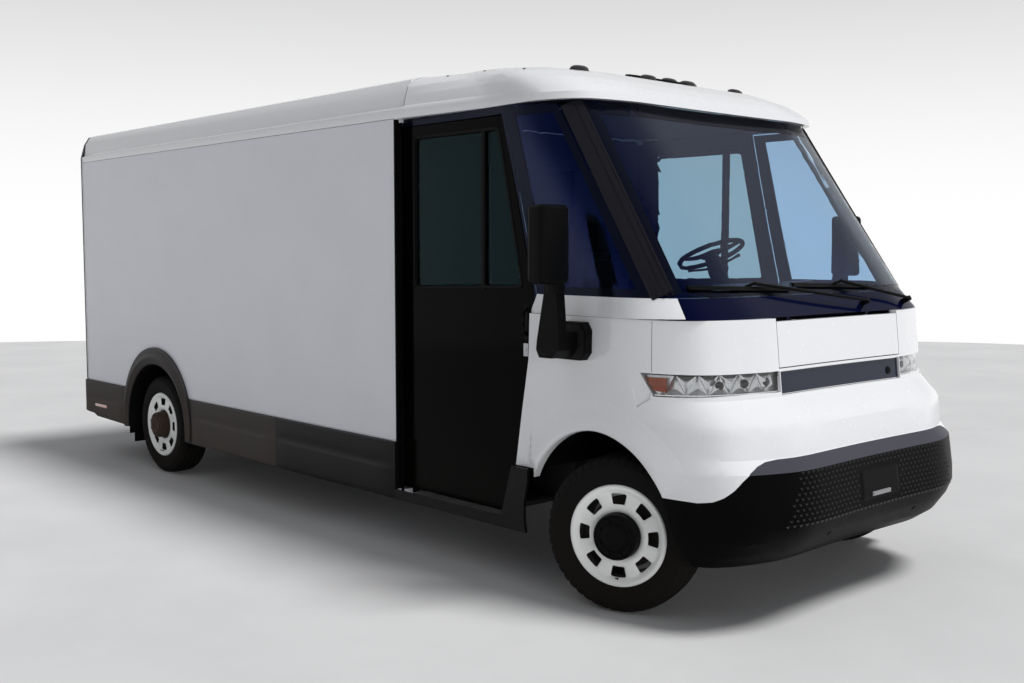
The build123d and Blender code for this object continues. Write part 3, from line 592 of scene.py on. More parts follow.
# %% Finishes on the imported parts
finishes = {
    white_gloss: ["nose_panel", "hood", "charge_flap", "cab_roof", "cargo_roof"],
    panel_white: ["cargo_wall_right", "cargo_wall_left"],
    black_gloss: ["cab_door_right", "cab_door_left"],
    pillar_black: ["cab_frame", "rear_frame"],
    cladding_grey: ["cladding"],
    bumper_grey: ["lower_bumper"],
    moulded_black: ["mirrors", "wipers", "arch_liners", "rear_bumper", "steering_wheel"],
    trim_grey: ["dashboard", "bulkhead", "bulkhead_door", "steering_column"],
    seat_cloth: ["seats"],
    window_glass: ["windscreen", "quarter_glass"],
    side_glass: ["door_glass_right", "door_glass_left"],
    clear_lens: ["headlamps"],
    red_lens: ["tail_lamps"],
    smoked_lens: ["marker_lamps"],
    bar_panel: ["light_bar"],
    chassis_black_and_barrel_shade: ["chassis_frame", "front_suspension", "rear_axle"],
    battery_silver: ["battery_pack"],
    floor_board: ["floor", "entry_steps"],
    slat_silver: ["rear_door"],
    hub_iron: ["knuckle_right", "knuckle_left"],
    wheel_white: ["rim_front_right", "rim_front_left", "rim_rear_right", "rim_rear_left"],
    tyre_rubber: ["tyre_front_right", "tyre_front_left", "tyre_rear_right", "tyre_rear_left"],
}
for material, names in finishes.items():
    for name in names:
        slots = node[name].data.materials
        slots.clear()
        slots.append(material)
bare = set(node) - {name for names in finishes.values() for name in names}
print("parts without a finish:", sorted(bare))

# %% [markdown]
# The curved panels are packed as narrow bands, each smooth by itself. A copy whose bands share their
# vertices is smooth right across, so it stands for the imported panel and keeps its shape.

# %% Curved panels without band edges
def whole_skin(name, sharp=24):
    """The same panel with its bands joined, so that shading runs across them."""
    bm = bmesh.new()
    bm.from_mesh(node[name].data)
    bmesh.ops.remove_doubles(bm, verts=bm.verts[:], dist=2e-5)
    mesh = mesh_of(bm, name, outwards=False)
    if "custom_normal" in mesh.attributes:
        mesh.attributes.remove(mesh.attributes["custom_normal"])
    obj = piece(f"{name}_skin", mesh, node[name].data.materials[0], stands_for=[name], sharp=sharp)
    even = obj.modifiers.new("even_shading", "WEIGHTED_NORMAL")
    even.keep_sharp = True
    return obj


skin_slots = {"nose_panel": "white_paint", "cab_roof": "white_paint", "cargo_roof": "white_paint",
              "lower_bumper": "cladding_plastic", "cab_frame": "black_paint"}
skins = {name: whole_skin(name) for name, slot in skin_slots.items()}
print("skins", [obj.name for obj in skins.values()])

# %% [markdown]
# The cowl below the windscreen is gloss black, and the deep blue of the sky's reflection in it is painted
# into its colour. It is part of the cab's frame, so its faces get a second finish on the same mesh in place
# of a new piece.

# %% The cowl in front of the windscreen, with the sky's blue reflection painted on
cowl_rear_x, cowl_top_z = 2.80, 1.50
cowl = skins["cab_frame"].data
cowl.materials.append(cowl_painted_sky_blue)
for face in cowl.polygons:
    if face.center.x > cowl_rear_x and face.center.z < cowl_top_z and face.normal.x > 0.05:
        face.material_index = 1
print("cowl faces", sum(face.material_index for face in cowl.polygons))

# %% [markdown]
# The joints say where each wheel turns and which way its axle points. Reading them here keeps every wheel
# piece on its own axle, also for the steered wheels.

# %% Where the wheels are
joint = {row["name"]: row for row in frame["joints"]}
wheels = {}
for place in ("front_right", "front_left", "rear_right", "rear_left"):
    row = joint[f"wheel_{place}_spin"]
    outward = Vector(row["axis"]) * (1 if place.endswith("left") else -1)
    wheels[place] = (Vector(row["pos_m"]), outward)
print("wheels", {place: [round(x, 3) for x in centre] for place, (centre, outward) in wheels.items()})

# %% [markdown]
# ## Tyres
# A tyre is round, so its section is turned about the axle. The shoulder blocks of the tread are made in
# the same turn: at every fifth step the shoulder is drawn in, which leaves the gaps between the blocks.

# %% Tyre section and tread
sidewall = [
    (.088, .219), (.094, .226), (.098, .239), (.1045, .252), (.1075, .262), (.1083, .2645), (.1083, .268),
    (.1092, .272), (.1115, .292), (.1112, .308), (.1098, .318), (.1105, .320), (.1092, .323), (.1078, .326),
]
shoulder = [(.1050, .333), (.0998, .342), (.0945, .3500), (.0880, .3565), (.0795, .3598)]
tread = [
    (.0660, .3620), (.0650, .3535), (.0570, .3537), (.0560, .3632), (.0410, .3640), (.0240, .3646),
    (.0230, .3556), (.0150, .3556), (.0140, .3648),
]
tyre_profile = sidewall + shoulder + tread
tyre_profile += [(-along, radius) for along, radius in reversed(tyre_profile)]


def drawn_in(k, along, radius):
    """Narrow gaps between the shoulder blocks, one in every five steps."""
    if k % 5 == 0 and 0.330 < radius < 0.3625 and abs(along) > 0.060:
        return along * 0.975, radius - 0.0045
    return along, radius


for place, (centre, outward) in wheels.items():
    mesh = lathe(tyre_profile, centre, outward, 240, closed=True, change=drawn_in)
    piece(f"tyre_tread_{place}", mesh, tyre_rubber, f"wheel_{place}", [f"tyre_{place}"],
          sharp=28)
print("tyre faces", len(mesh.polygons))

# %% [markdown]
# ## Wheels
# The steel wheel is pressed from one disc with eight openings, and its edges are all rounded. A coarse
# grid with eight gaps, given a thickness and smoothed by subdivision, rounds every edge in one go.

# %% Pressed wheel disc
def thick_and_smooth(mesh, thickness, levels):
    worker = add_object("worker", mesh)
    wall = worker.modifiers.new("wall", "SOLIDIFY")
    wall.thickness = thickness
    wall.offset = -1
    if levels:
        round_off = worker.modifiers.new("round_off", "SUBSURF")
        round_off.levels = levels
    made = bpy.data.meshes.new_from_object(worker.evaluated_get(bpy.context.evaluated_depsgraph_get()))
    bpy.data.objects.remove(worker)
    return made


disc_rows = [
    (.058, .098), (.070, .104), (.084, .110), (.0905, .121), (.0925, .134), (.0920, .1455), (.0905, .158),
    (.0900, .171), (.0900, .184), (.0905, .1975), (.0930, .2075), (.0985, .2150), (.1030, .2215),
    (.1045, .2280), (.1030, .2335), (.0960, .2352), (.0900, .2335),
]
disc_steps, slot_rows, slot_steps = 64, range(5, 9), (6, 7, 0, 1)
pressed_rows, pressed_steps, press_depth = range(5, 10), (6, 7, 0, 1, 2), 0.005


def wheel_disc(centre, axis):
    """The disc as a coarse grid with eight gaps. The metal between the gaps is pressed in a little."""
    origin, axis, side, up = turned_frame(centre, axis)
    rows = len(disc_rows)
    verts, faces = [], []
    for k in range(disc_steps):
        out = spoke(side, up, 2 * math.pi * k / disc_steps)
        for row, (along, radius) in enumerate(disc_rows):
            pressed = press_depth if row in pressed_rows and k % 8 in pressed_steps else 0.0
            verts.append(origin + axis * (along - pressed) + out * radius)
    for k in range(disc_steps):
        a, b = k * rows, (k + 1) % disc_steps * rows
        for i in range(rows - 1):
            if i not in slot_rows or k % 8 not in slot_steps:
                faces.append((a + i, b + i, b + i + 1, a + i + 1))
    return thick_and_smooth(mesh_from(verts, faces), 0.0045, 2)


# The barrel is white steel like the disc, but it gets the black chassis finish as painted shade, so that
# the wheel's openings look dark.
barrel_profile = [
    (.0955, .2325), (.088, .2195), (.062, .2165), (.048, .200), (-.048, .198), (-.072, .2165),
    (-.094, .2195), (-.100, .2335), (-.103, .2345), (-.1035, .230), (-.097, .216), (-.074, .212),
    (-.050, .193), (.046, .195), (.060, .2115), (.086, .2145),
]
for place, (centre, outward) in wheels.items():
    mesh = wheel_disc(centre, outward)
    piece(f"wheel_steel_{place}", mesh, wheel_white, f"wheel_{place}", [f"rim_{place}"],
          sharp=40)
    barrel = lathe(barrel_profile, centre, outward, 96, closed=True)
    piece(f"wheel_barrel_painted_shade_{place}", barrel, chassis_black_and_barrel_shade, f"wheel_{place}", sharp=40)
print("wheel faces", len(mesh.polygons))

# %% [markdown]
# The hub stands proud of the disc: a deep black cap with a ring of nuts in front, and the bare iron end
# of the axle at the rear. Nuts are six-sided lathes, one after another round the ring.

# %% Hubs, nuts, valves and brakes
front_cap = [
    (.050, .1085), (.128, .1075), (.138, .1050), (.1430, .0990), (.1440, .0960), (.1400, .0930),
    (.1395, .0680), (.1440, .0640), (.1460, .0600), (.1490, .0560), (.1520, .0400), (.1535, .0200),
    (.1537, .0005),
]
rear_cap = [
    (.050, .1080), (.086, .1070), (.089, .1040), (.089, .0960), (.142, .0930), (.1490, .0890),
    (.1500, .0840), (.1500, .0640), (.1560, .0600), (.1570, .0550), (.1570, .0300), (.1530, .0270),
    (.1530, .0005),
]


def nut_ring(centre, axis, ring_radius, along, height=0.008, radius=0.0095, count=8):
    origin, axis, side, up = turned_frame(centre, axis)
    nut = [(0, radius), (height * 0.8, radius), (height, radius * 0.8), (height, 0.001)]
    nuts = []
    for k in range(count):
        out = spoke(side, up, 2 * math.pi * (k + 0.5) / count)
        nuts.append(lathe(nut, origin + out * ring_radius + axis * along, axis, 6))
    return nuts


disc_profile = [(.004, .078), (.004, .168), (.001, .170), (-.015, .170), (-.018, .168), (-.018, .078)]
valve_profile = [(0, .0045), (.010, .0045), (.012, .003), (.026, .003), (.028, .0035), (.034, .0035),
                 (.035, .001)]
for place, (centre, outward) in wheels.items():
    body = f"wheel_{place}"
    front = place.startswith("front")
    cap = lathe(front_cap if front else rear_cap, centre, outward, 72)
    nuts = nut_ring(centre, outward, 0.0805, 0.1385) if front else nut_ring(centre, outward, 0.074, 0.149)
    cap_finish = moulded_black if front else hub_iron
    piece(f"hub_cap_{place}", [cap] + nuts, cap_finish, body, sharp=30)
    # The disc's dark colour is partly painted shade, for the dark seen through the wheel's openings.
    brake = lathe(disc_profile, centre, outward, 72, closed=True)
    piece(f"brake_disc_{place}", brake, brake_iron_and_shade, body)
    origin, axis, side, up = turned_frame(centre, outward)
    valve = lathe(valve_profile, origin + up * -0.205 + axis * 0.088, axis + up * 0.35, 12)
    piece(f"valve_{place}", valve, seal_rubber, body=body)
print("hubs", len(wheels))

# %% [markdown]
# ## Lamps
# A headlamp is a clear lens over a bright bowl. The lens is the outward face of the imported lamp, so its
# outline is exact, and the bowl is the rest of the same skin. Between them stands a row of mirror facets.

# %% Lens and bowl of the headlamps
def skin(name, keep):
    """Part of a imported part's skin: the faces for which keep(centre, normal) is true."""
    bm = bmesh.new()
    bm.from_mesh(node[name].data)
    drop = [f for f in bm.faces if not keep(f.calc_center_median(), f.normal)]
    bmesh.ops.delete(bm, geom=drop, context="FACES")
    bmesh.ops.remove_doubles(bm, verts=bm.verts[:], dist=1e-5)
    return mesh_of(bm, name, outwards=False)


def faces_out(centre, normal):
    return normal.dot(Vector((centre.x - 2.2, centre.y * 0.8, 0)).normalized()) > 0.55


def faces_in(centre, normal):
    return not faces_out(centre, normal)


lens = thick_and_smooth(skin("headlamps", faces_out), 0.003, 0)
piece("headlamp_lenses", lens, clear_lens, stands_for=["headlamps"])
piece("headlamp_bowls", skin("headlamps", faces_in), lamp_bowl, sharp=20)
print("lens faces", len(lens.polygons))

# %% [markdown]
# The lamp wraps round the corner of the nose, so places on it are given by an angle and a height. A ray
# that looks back at the corner from that angle finds the surface, and a depth sets a point behind it.

# %% Points round the corner of the nose
lamp_tree = panel_tree("headlamps")


def round_nose(tree, turn, height, side):
    """The surface met by a ray that looks back at the nose from an angle round its corner."""
    out = Vector((math.cos(turn), side * math.sin(turn), 0))
    middle = Vector((2.45, side * 0.30, height))
    return (*on_panel(tree, middle + out * 1.6, -out), out, middle)


def lamp_point(turn, height, depth, side):
    """A point behind the lens: an angle round the corner of the nose, a height and a depth."""
    hit, normal, out, middle = round_nose(lamp_tree, turn, height, side)
    return (hit if hit is not None else middle + out * 0.7) - out * depth


def lamp_low(turn):
    """The lower edge of the lamp, which drops a little towards its outer end."""
    return 1.037 - 0.005 * max(0.0, (turn - 0.70) / 0.35)


print("lamp's lower edge", [round(lamp_low(math.radians(turn)), 4) for turn in (20, 40, 60)])

# %% [markdown]
# The reflector behind the lens is a row of three-sided points that alternate up and down, so some part of
# it always throws light back. Three dark projectors and an amber end stand among them.

# %% Mirror facets, projectors and the amber end
facet_turns = [math.radians(19.0 + 37.8 * k / 11) for k in range(12)]
amber_turns = [math.radians(57.5 + 8.4 * k / 6) for k in range(7)]
projector_profile = [(0, .019), (.012, .019), (.016, .017), (.020, .011), (.0215, .001)]
facets, projectors, ambers = [], [], []
for side in BOTH:
    for k, (a, b) in enumerate(zip(facet_turns, facet_turns[1:])):
        low, high = lamp_low((a + b) / 2) + 0.004, 1.127
        if k % 2:
            low, high = high, low
        wide = (b - a) * 0.45
        corners = ((a - wide, low, 0.026), (b + wide, low, 0.026), ((a + b) / 2, high, 0.026),
                   ((a + b) / 2, low * 0.62 + high * 0.38, 0.006))
        facets.append(mesh_from([lamp_point(*corner, side) for corner in corners],
                                [(0, 1, 3), (1, 2, 3), (2, 0, 3)]))
    for turn, height in ((23.5, 1.085), (32.5, 1.083), (41.5, 1.080)):
        foot, front = [lamp_point(math.radians(turn), height, depth, side) for depth in (0.027, 0.005)]
        projectors.append(lathe(projector_profile, foot, front - foot, 32))
    verts = []
    for turn in amber_turns:
        low = 1.046 + 0.020 * (turn - amber_turns[0]) / (amber_turns[-1] - amber_turns[0])
        section = ((low, 0.006), (1.080, 0.004), (1.112, 0.006), (1.112, 0.024), (low, 0.024))
        verts += [lamp_point(turn, z, depth, side) for z, depth in section]
    ends = [(0, 1, 2, 3, 4), (34, 33, 32, 31, 30)]
    ambers.append(mesh_from(verts, grid_faces(7, 5, around=True) + ends))
piece("headlamp_facets", facets, lamp_mirror, sharp=1)
piece("headlamp_projectors", projectors, smoked_lens)
piece("headlamp_ambers", ambers, amber_lens, sharp=50)
print("facets", len(facets), "projectors", len(projectors))

# %% [markdown]
# Thin trims follow the lamps and the dark bar between them. Each one is a narrow strip laid on the
# surface by casting rays, first a bright line below, then a black one above.

# %% Trims round the lamps and the bar
def nose_strip(name, turns, heights, width, height, material):
    """A strip round the corner of the nose at the given angles and heights, on both sides."""
    runs = []
    for side in BOTH:
        found = [round_nose(lamp_tree, turn, z, side)[:2] for turn, z in zip(turns, heights)]
        runs.append(ribbon(found, width, height))
    return piece(name, runs, material)


lamp_turns = [math.radians(18.2 + 45.2 * k / 40) for k in range(41)]
outer_turns = [math.radians(47.0 + 16.8 * k / 16) for k in range(17)]
end_heights = [1.038 + 0.0225 * k for k in range(5)]
low_heights = [lamp_low(turn) + 0.004 for turn in lamp_turns]
nose_strip("lamp_silver_line", lamp_turns, low_heights, 0.004, 0.0025, bright_metal)
nose_strip("lamp_black_line", outer_turns, [1.1275] * 17, 0.006, 0.0025, moulded_black)
nose_strip("lamp_inner_end", [math.radians(18.0)] * 5, end_heights, 0.008, 0.003, bright_metal)

# %% [markdown]
# Two bright lines edge the dark bar between the lamps, and a round sensor sits beside its middle. The
# lines are strips across the bar's own surface, a little inside its upper and lower edge.

# %% Lines and the sensor on the bar
bar_tree = panel_tree("light_bar")
bar_low, bar_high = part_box("light_bar")
bar_lines = []
for z in (bar_low.z + 0.003, bar_high.z - 0.003):
    bar_lines.append(strip(bar_tree, [(ahead, -0.52, z), (ahead, 0.52, z)], (-1, 0, 0), 0.0035, 0.0025))
piece("bar_silver_lines", bar_lines, bright_metal)
sensor_profile = [(-.004, .020), (.003, .020), (.0045, .018), (.0045, .012), (.003, .010), (.005, .006),
                  (.0055, .0005)]
sensor = lathe(sensor_profile, *from_front(bar_tree, 0.43, 1.067), 32)
piece("bar_sensor", sensor, moulded_black)
print("bar from", round(bar_low.z, 3), "to", round(bar_high.z, 3))

# %% [markdown]
# ## Nose and bumper
# Panel gaps read as fine dark lines. They are laid over the paint as very thin strips, which is quicker
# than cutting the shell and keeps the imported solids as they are.

# %% Panel gaps
nose_tree = panel_tree("nose_panel", "cab_frame")
gaps = []
for side in BOTH:
    points = [(2.836, side * beside, 1.362), (2.838, side * beside, 1.250), (2.842, side * beside, 1.136)]
    gaps.append(strip(nose_tree, points, (0, -side, 0), 0.0026, 0.0004, 0.01, 0.0003))
piece("nose_panel_gaps", gaps, gap_dark, sharp=60)
print("gaps", len(gaps))

# %% [markdown]
# The wings swell round the front wheels. The swelling is a band that follows the edge of the opening: it
# rises steeply at the lip and dies away over the wing, and a ray from the side finds the wing under it.

# %% Flared wings
wing_tree = panel_tree("nose_panel")
flare = [(.4488, -.0010), (.4496, .0085), (.4530, .0125), (.4640, .0150), (.4800, .0150), (.5000, .0125),
         (.5220, .0088), (.5450, .0050), (.5700, .0020), (.5950, .0004), (.6050, -.0012)]
arch_middle = Vector((2.523, 0.390))
wing_rear_x = 2.087
flares = []
for side in BOTH:
    rows = []
    for k in range(121):
        turn = math.radians(23.5 + 127.5 * k / 120)
        furthest = (wing_rear_x - arch_middle.x) / math.cos(turn) if math.cos(turn) < 0 else 1.0
        ends = min(1.0, k / 14, (120 - k) / 6 + 0.35)
        row = []
        for radius, lift in flare:
            radius = min(radius, furthest)
            x, z = arch_middle.x + radius * math.cos(turn), arch_middle.y + radius * math.sin(turn)
            hit, normal = from_side(wing_tree, x, z, side)
            if hit is None or hit.y * side < 0.8:
                break
            row.append(hit + normal * (lift * ends if lift > 0 else lift))
        if len(row) == len(flare):
            rows.append(row)
    flares.append(mesh_from([p for row in rows for p in row], grid_faces(len(rows), len(flare))))
piece("wing_flares", flares, white_gloss, sharp=60)
print("flare rows", len(rows))

# %% [markdown]
# The bumper's face is covered with small raised scales in staggered rows. Each scale is three facets that
# rise from the surface to one point, so the top facet catches the light and the lower ones stay dark.

# %% Scales on the bumper
bumper_tree = panel_tree("lower_bumper")
scales = bmesh.new()
made = 0
for row in range(11):
    z = 0.480 + 0.0225 * row
    half_wide = 0.735 - (z - 0.47) * 0.42
    for column in range(-22, 23):
        y = column * 0.0345 + (row % 2) * 0.01725
        if abs(y) > half_wide or (abs(y) < 0.185 and 0.500 < z < 0.665):
            continue
        hit, normal = from_front(bumper_tree, y, z)
        if hit is None or normal.x < 0.5:
            continue
        across = Vector((0, 0, 1)).cross(normal).normalized()
        up = normal.cross(across)
        corners = [hit + across * sx * 0.0125 + up * sz - normal * 0.0005
                   for sx, sz in ((-1, .0055), (1, .0055), (0, -.0090))]
        tip = hit + up * 0.0035 + normal * 0.0062
        a, b, c, d = [scales.verts.new(p) for p in corners + [tip]]
        for face in ((a, b, d), (b, c, d), (c, a, d)):
            scales.faces.new(face)
        made += 1
piece("bumper_scales", mesh_of(scales), scale_black, sharp=1)
print("scales", made)

# %% [markdown]
# The blank plate pad is a rectangle with round corners that bends with the bumper. A flat grid of points
# is made first, its corners are drawn in, and rays then drop every point on to the bumper's face.

# %% Plate pad, grip bar and sensors on the bumper
def patch(tree, centre, half_width, half_height, lift, corner=0.02, columns=24, rows=10):
    """A thin pad with round corners that follows the surface behind it."""
    bm = bmesh.new()
    grid = {}
    for i in range(columns + 1):
        for j in range(rows + 1):
            u, v = 2 * i / columns - 1, 2 * j / rows - 1
            y, z = u * half_width, v * half_height
            over_y, over_z = abs(y) - (half_width - corner), abs(z) - (half_height - corner)
            length = math.hypot(over_y, over_z)
            if over_y > 0 and over_z > 0 and length > corner:
                y -= math.copysign(over_y * (1 - corner / length), y)
                z -= math.copysign(over_z * (1 - corner / length), z)
            hit, normal = from_front(tree, centre[0] + y, centre[1] + z)
            if hit is not None:
                edge = abs(u) == 1 or abs(v) == 1
                grid[i, j] = bm.verts.new(hit + normal * (-0.001 if edge else lift))
    for i in range(columns):
        for j in range(rows):
            ring = [grid.get(key) for key in ((i, j), (i + 1, j), (i + 1, j + 1), (i, j + 1))]
            if None not in ring:
                bm.faces.new(ring)
    return mesh_of(bm)


piece("plate_pad", patch(bumper_tree, (0, 0.583), 0.172, 0.072, 0.0035), moulded_black, sharp=30)
grip_bar = patch(bumper_tree, (0, 0.538), 0.082, 0.0125, 0.0095, 0.005, 24, 6)
piece("grip_bar", grip_bar, grip_grey, sharp=30)
parking_sensor = [(-.003, .0125), (.0015, .0125), (.0022, .0115), (.0016, .0095), (.0024, .0085),
                  (.0026, .0004)]
sensors = [lathe(parking_sensor, *from_front(bumper_tree, y, z), 24)
           for y, z in ((-0.86, 0.405), (-0.38, 0.395), (0.38, 0.395), (0.86, 0.405))]
piece("bumper_sensors", sensors, moulded_black)
print("sensors", len(sensors))

# %% [markdown]
# ## Mirrors
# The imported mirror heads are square-edged, so a rounded shell goes over each. The glass is added on the
# rear face in two panes, and the foot gets its field of small studs.

# %% Mirror glass and studs on the foot
stud = [(0, .0034), (.0012, .0028), (.0018, .0004)]
panes, frames, studs = [], [], []
for side in BOTH:
    for low, high in ((1.662, 1.848), (1.556, 1.646)):
        panes.append(side_box(side, (2.3462, 2.3502), (1.188, 1.322), (low, high), 0.0018, 2))
        rim = (low - 0.006, high + 0.006)
        frames.append(side_box(side, (2.3475, 2.3515), (1.182, 1.328), rim, 0.0015, 2))
    for column in range(15):
        for row in range(14):
            x, z = 2.345 + column * 0.0102, 1.178 + row * 0.0116 + (column % 2) * 0.0058
            on_foot = x + z <= 3.784 and x - z <= 1.282 and z <= 1.334 and x <= 2.487
            if on_foot:
                studs.append(lathe(stud, (x, side * 1.098, z), (0, side, 0), 6))
piece("mirror_panes", panes, mirror_metal)
piece("mirror_pane_frames", frames, seal_rubber)
piece("mirror_foot_studs", studs, stud_grey, sharp=1)
print("studs", len(studs))

# %% [markdown]
# Each mirror housing is a tall soft pillow with a short neck below it. A generous bevel on two boxes
# gives that form with far fewer faces than a sculpted one.

# %% Soft shells over the mirror heads
shells = []
for side in BOTH:
    shells.append(side_box(side, (2.3485, 2.452), (1.152, 1.3395), (1.520, 1.879), 0.026, 6))
    shells.append(side_box(side, (2.3600, 2.4350), (1.166, 1.229), (1.475, 1.545), 0.012, 4))
piece("mirror_shells", shells, moulded_black, sharp=50)
print("mirror shells", len(shells))

# %% [markdown]
# ## Doors
# Each sliding door has a rubber seal round its window, a tall grip at its front edge and a small latch
# plate. These pieces ride on the door, so they slide with it.

# %% Window seals and door grips
window_ring = [(1.112, 1.467), (1.990, 1.490), (1.812, 2.290), (1.112, 2.290)]


def rounded_ring(corners, radius, steps=6):
    """The same outline with its corners rounded off."""
    ring = []
    for i, corner in enumerate(corners):
        p = Vector(corner)
        a = p + (Vector(corners[i - 1]) - p).normalized() * radius
        b = p + (Vector(corners[(i + 1) % len(corners)]) - p).normalized() * radius
        for k in range(steps + 1):
            t = k / steps
            ring.append(a.lerp(p, t).lerp(p.lerp(b, t), t))
    return ring


def ring_seal(ring, y, side, width, height):
    """A closed strip of rubber along a ring in the plane of the door."""
    middle = sum(ring, Vector((0, 0))) / len(ring)
    verts = []
    for p in ring:
        toward = (middle - p).normalized()
        for across, lift in ((0, -.001), (0.1, height), (0.75, height * 0.9), (1, -.012)):
            q = p + toward * across * width - toward * 0.004
            verts.append((q.x, y + side * lift, q.y))
    return mesh_from(verts, grid_faces(len(ring), 4, closed=True))


lock_profile = [(-.001, .010), (.002, .010), (.003, .008), (.003, .003), (.002, .002), (.002, .0004)]
door_ring = rounded_ring(window_ring, 0.035)
for side, place in ((RIGHT, "right"), (LEFT, "left")):
    body, slot = f"door_{place}", "black_plastic"
    seal = ring_seal(door_ring, side * 1.020, side, 0.026, 0.0035)
    piece(f"window_seal_{place}", seal, seal_rubber, body)
    post = side_box(side, (1.676, 1.704), (1.0075, 1.0225), (1.470, 2.288), 0.004)
    piece(f"window_post_{place}", post, seal_rubber, body)
    bar = [(2.021, 1.022, 1.255), (2.021, 1.046, 1.275), (2.022, 1.048, 1.320), (2.022, 1.046, 1.370),
           (2.022, 1.022, 1.390)]
    grip = [side_box(side, (2.004, 2.040), (1.018, 1.0245), (1.235, 1.405), 0.003),
            tube([(x, side * y, z) for x, y, z in bar], 0.0085, 14)]
    piece(f"door_grip_{place}", grip, moulded_black, body)
    lock = [side_box(side, (1.996, 2.030), (1.019, 1.0235), (1.150, 1.215), 0.002),
            lathe(lock_profile, (2.013, side * 1.0235, 1.182), (0, side, 0), 28)]
    piece(f"door_lock_{place}", lock, edge_grey, body)
print("points round each door window", len(door_ring))

# %% [markdown]
# Light would show through the gaps between a door and its opening. A flat seal on the body, just inside
# the door, covers the gap along the top and down the front edge, and stays put when the door slides.

# %% Seals that close the door openings from inside
seal_y = 0.962
door_seals = []
for side in BOTH:
    corners = ((1.030, 2.352), (1.858, 2.352), (2.076, 1.470), (2.058, 0.760))
    edge = along_line([(x, side * seal_y, z) for x, z in corners], 0.05)
    door_seals.append(ribbon([(p, Vector((0, side, 0))) for p in edge], 0.085, 0.004, 0.004))
piece("door_seals", door_seals, seal_rubber, sharp=30)
print("door seals", len(door_seals))

# %% [markdown]
# ## Sills and rear wheel openings
# The sill is one extruded shape: a flat upper band, a groove and a lower band. It is drawn as offsets
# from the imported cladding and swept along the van. The wheel opening gets the same treatment round an
# arc.

# %% Sill bands
cladding_y = 1.095


def sill(side, x_ends, groove_ends, low_ends, steps=16):
    """A moulding between two stations. The heights of its groove and lower edge may slope."""
    verts = []
    for i in range(steps + 1):
        x, groove, low = [a + (b - a) * i / steps for a, b in (x_ends, groove_ends, low_ends)]
        section = [
            (-.001, .606), (.0030, .6045), (.0045, .600), (.0050, groove + .050), (.0040, groove + .036),
            (.0014, groove + .022), (.0008, groove + .008), (.0030, groove - .006), (.0095, groove - .018),
            (.0120, groove - .028), (.0125, low + .030), (.0110, low + .012), (.0060, low + .002),
            (-.001, low),
        ]
        end = i in (0, steps)
        verts += [(x, side * (cladding_y + (min(0, off) if end else off)), z) for off, z in section]
    return mesh_from(verts, grid_faces(steps + 1, len(section)))


sills, dusty_sills = [], []
for side in BOTH:
    dusty_sills.append(sill(side, (-1.405, -0.2550), (0.487, 0.478), (0.290, 0.287)))
    sills.append(sill(side, (-0.2450, 1.0200), (0.478, 0.470), (0.287, 0.286)))
    dusty_sills.append(sill(side, (-3.2830, -2.5300), (0.462, 0.470), (0.345, 0.310)))
piece("sill_mouldings_front", sills, cladding_grey, sharp=60)
piece("sill_mouldings_rear", dusty_sills, cladding_dusty, sharp=60)
print("sill mouldings", len(sills))

# %% [markdown]
# A wide moulding frames each rear wheel opening, with a flat field, a raised rib and a rolled lip. Its
# section runs between an outer and an inner arc, which lets the band grow narrower towards its ends.

# %% Trim round the rear wheel openings
arch_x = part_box("tyre_rear_right")[0].x + 0.365
arch_z = 0.340
arch_profile = [
    (0.0, -.001), (.015, .008), (.06, .0115), (.30, .0125), (.44, .0165), (.52, .0235), (.60, .0245),
    (.68, .0200), (.80, .0130), (.93, .0095), (.985, .0060), (1.0, .0010), (1.0, -.030),
]
arches = []
for side in BOTH:
    verts = []
    for k in range(97):
        outer_turn, inner_turn = math.radians(-9 + 198 * k / 96), math.radians(-5 + 190 * k / 96)
        outer = Vector((arch_x + .550 * math.cos(outer_turn), .398 + .550 * math.sin(outer_turn)))
        inner = Vector((arch_x + .4825 * math.cos(inner_turn), arch_z + .4825 * math.sin(inner_turn)))
        for across, lift in arch_profile:
            p = outer.lerp(inner, across)
            verts.append((p.x, side * (cladding_y + lift), max(p.y, 0.300)))
    arches.append(mesh_from(verts, grid_faces(97, len(arch_profile))))
piece("rear_arch_trims", arches, cladding_dusty, sharp=60)
print("arch centre", round(arch_x, 3))

# %% [markdown]
# Behind the trim the opening is lined, so that no white panel edge or daylight shows round the tyre. The
# lining is an arc with a short lip, and two flat strips finish it at the bottom.

# %% Dark liners inside the rear wheel openings
liner_profile = [(.4835, 1.096), (.4790, 1.090), (.4780, 0.990), (.4780, 0.800), (.4830, 0.795)]
liners = []
for side in BOTH:
    verts = []
    for k in range(65):
        turn = math.radians(-4 + 188 * k / 64)
        for radius, y in liner_profile:
            z = max(0.302, arch_z + radius * math.sin(turn))
            verts.append((arch_x + radius * math.cos(turn), side * y, z))
    liners.append(mesh_from(verts, grid_faces(65, len(liner_profile))))
    for x in (arch_x - 0.481, arch_x + 0.478):
        liners.append(side_box(side, (x, x + 0.003), (0.800, 1.090), (0.245, 0.345), 0.001))
piece("rear_wheel_liners", liners, seal_rubber, sharp=40)
print("liners", len(liners))

# %% [markdown]
# Small pink reflectors sit on the lower sills, and rubber flaps hang behind the rear wheels. Both are
# plain moulded blocks, so soft boxes are enough.

# %% Reflectors on the sills and mud flaps
reflectors, flaps = [], []
for side in BOTH:
    reflectors.append(side_box(side, (-3.06, -2.84), (1.100, 1.1115), (0.402, 0.427), 0.004))
    flaps.append(side_box(side, (-2.462, -2.452), (0.800, 1.050), (0.175, 0.520), 0.003))
piece("sill_reflectors", reflectors, reflector_pink)
piece("mud_flaps", flaps, seal_rubber)
print("reflectors", len(reflectors))

# %% [markdown]
# ## Load body and roof
# The side panels are held by slim frames: a dark strip down the front edge, a bright edge at the rear and
# a row of rivets below the roof. The dark strip leaves a slot where the cab door slides in.

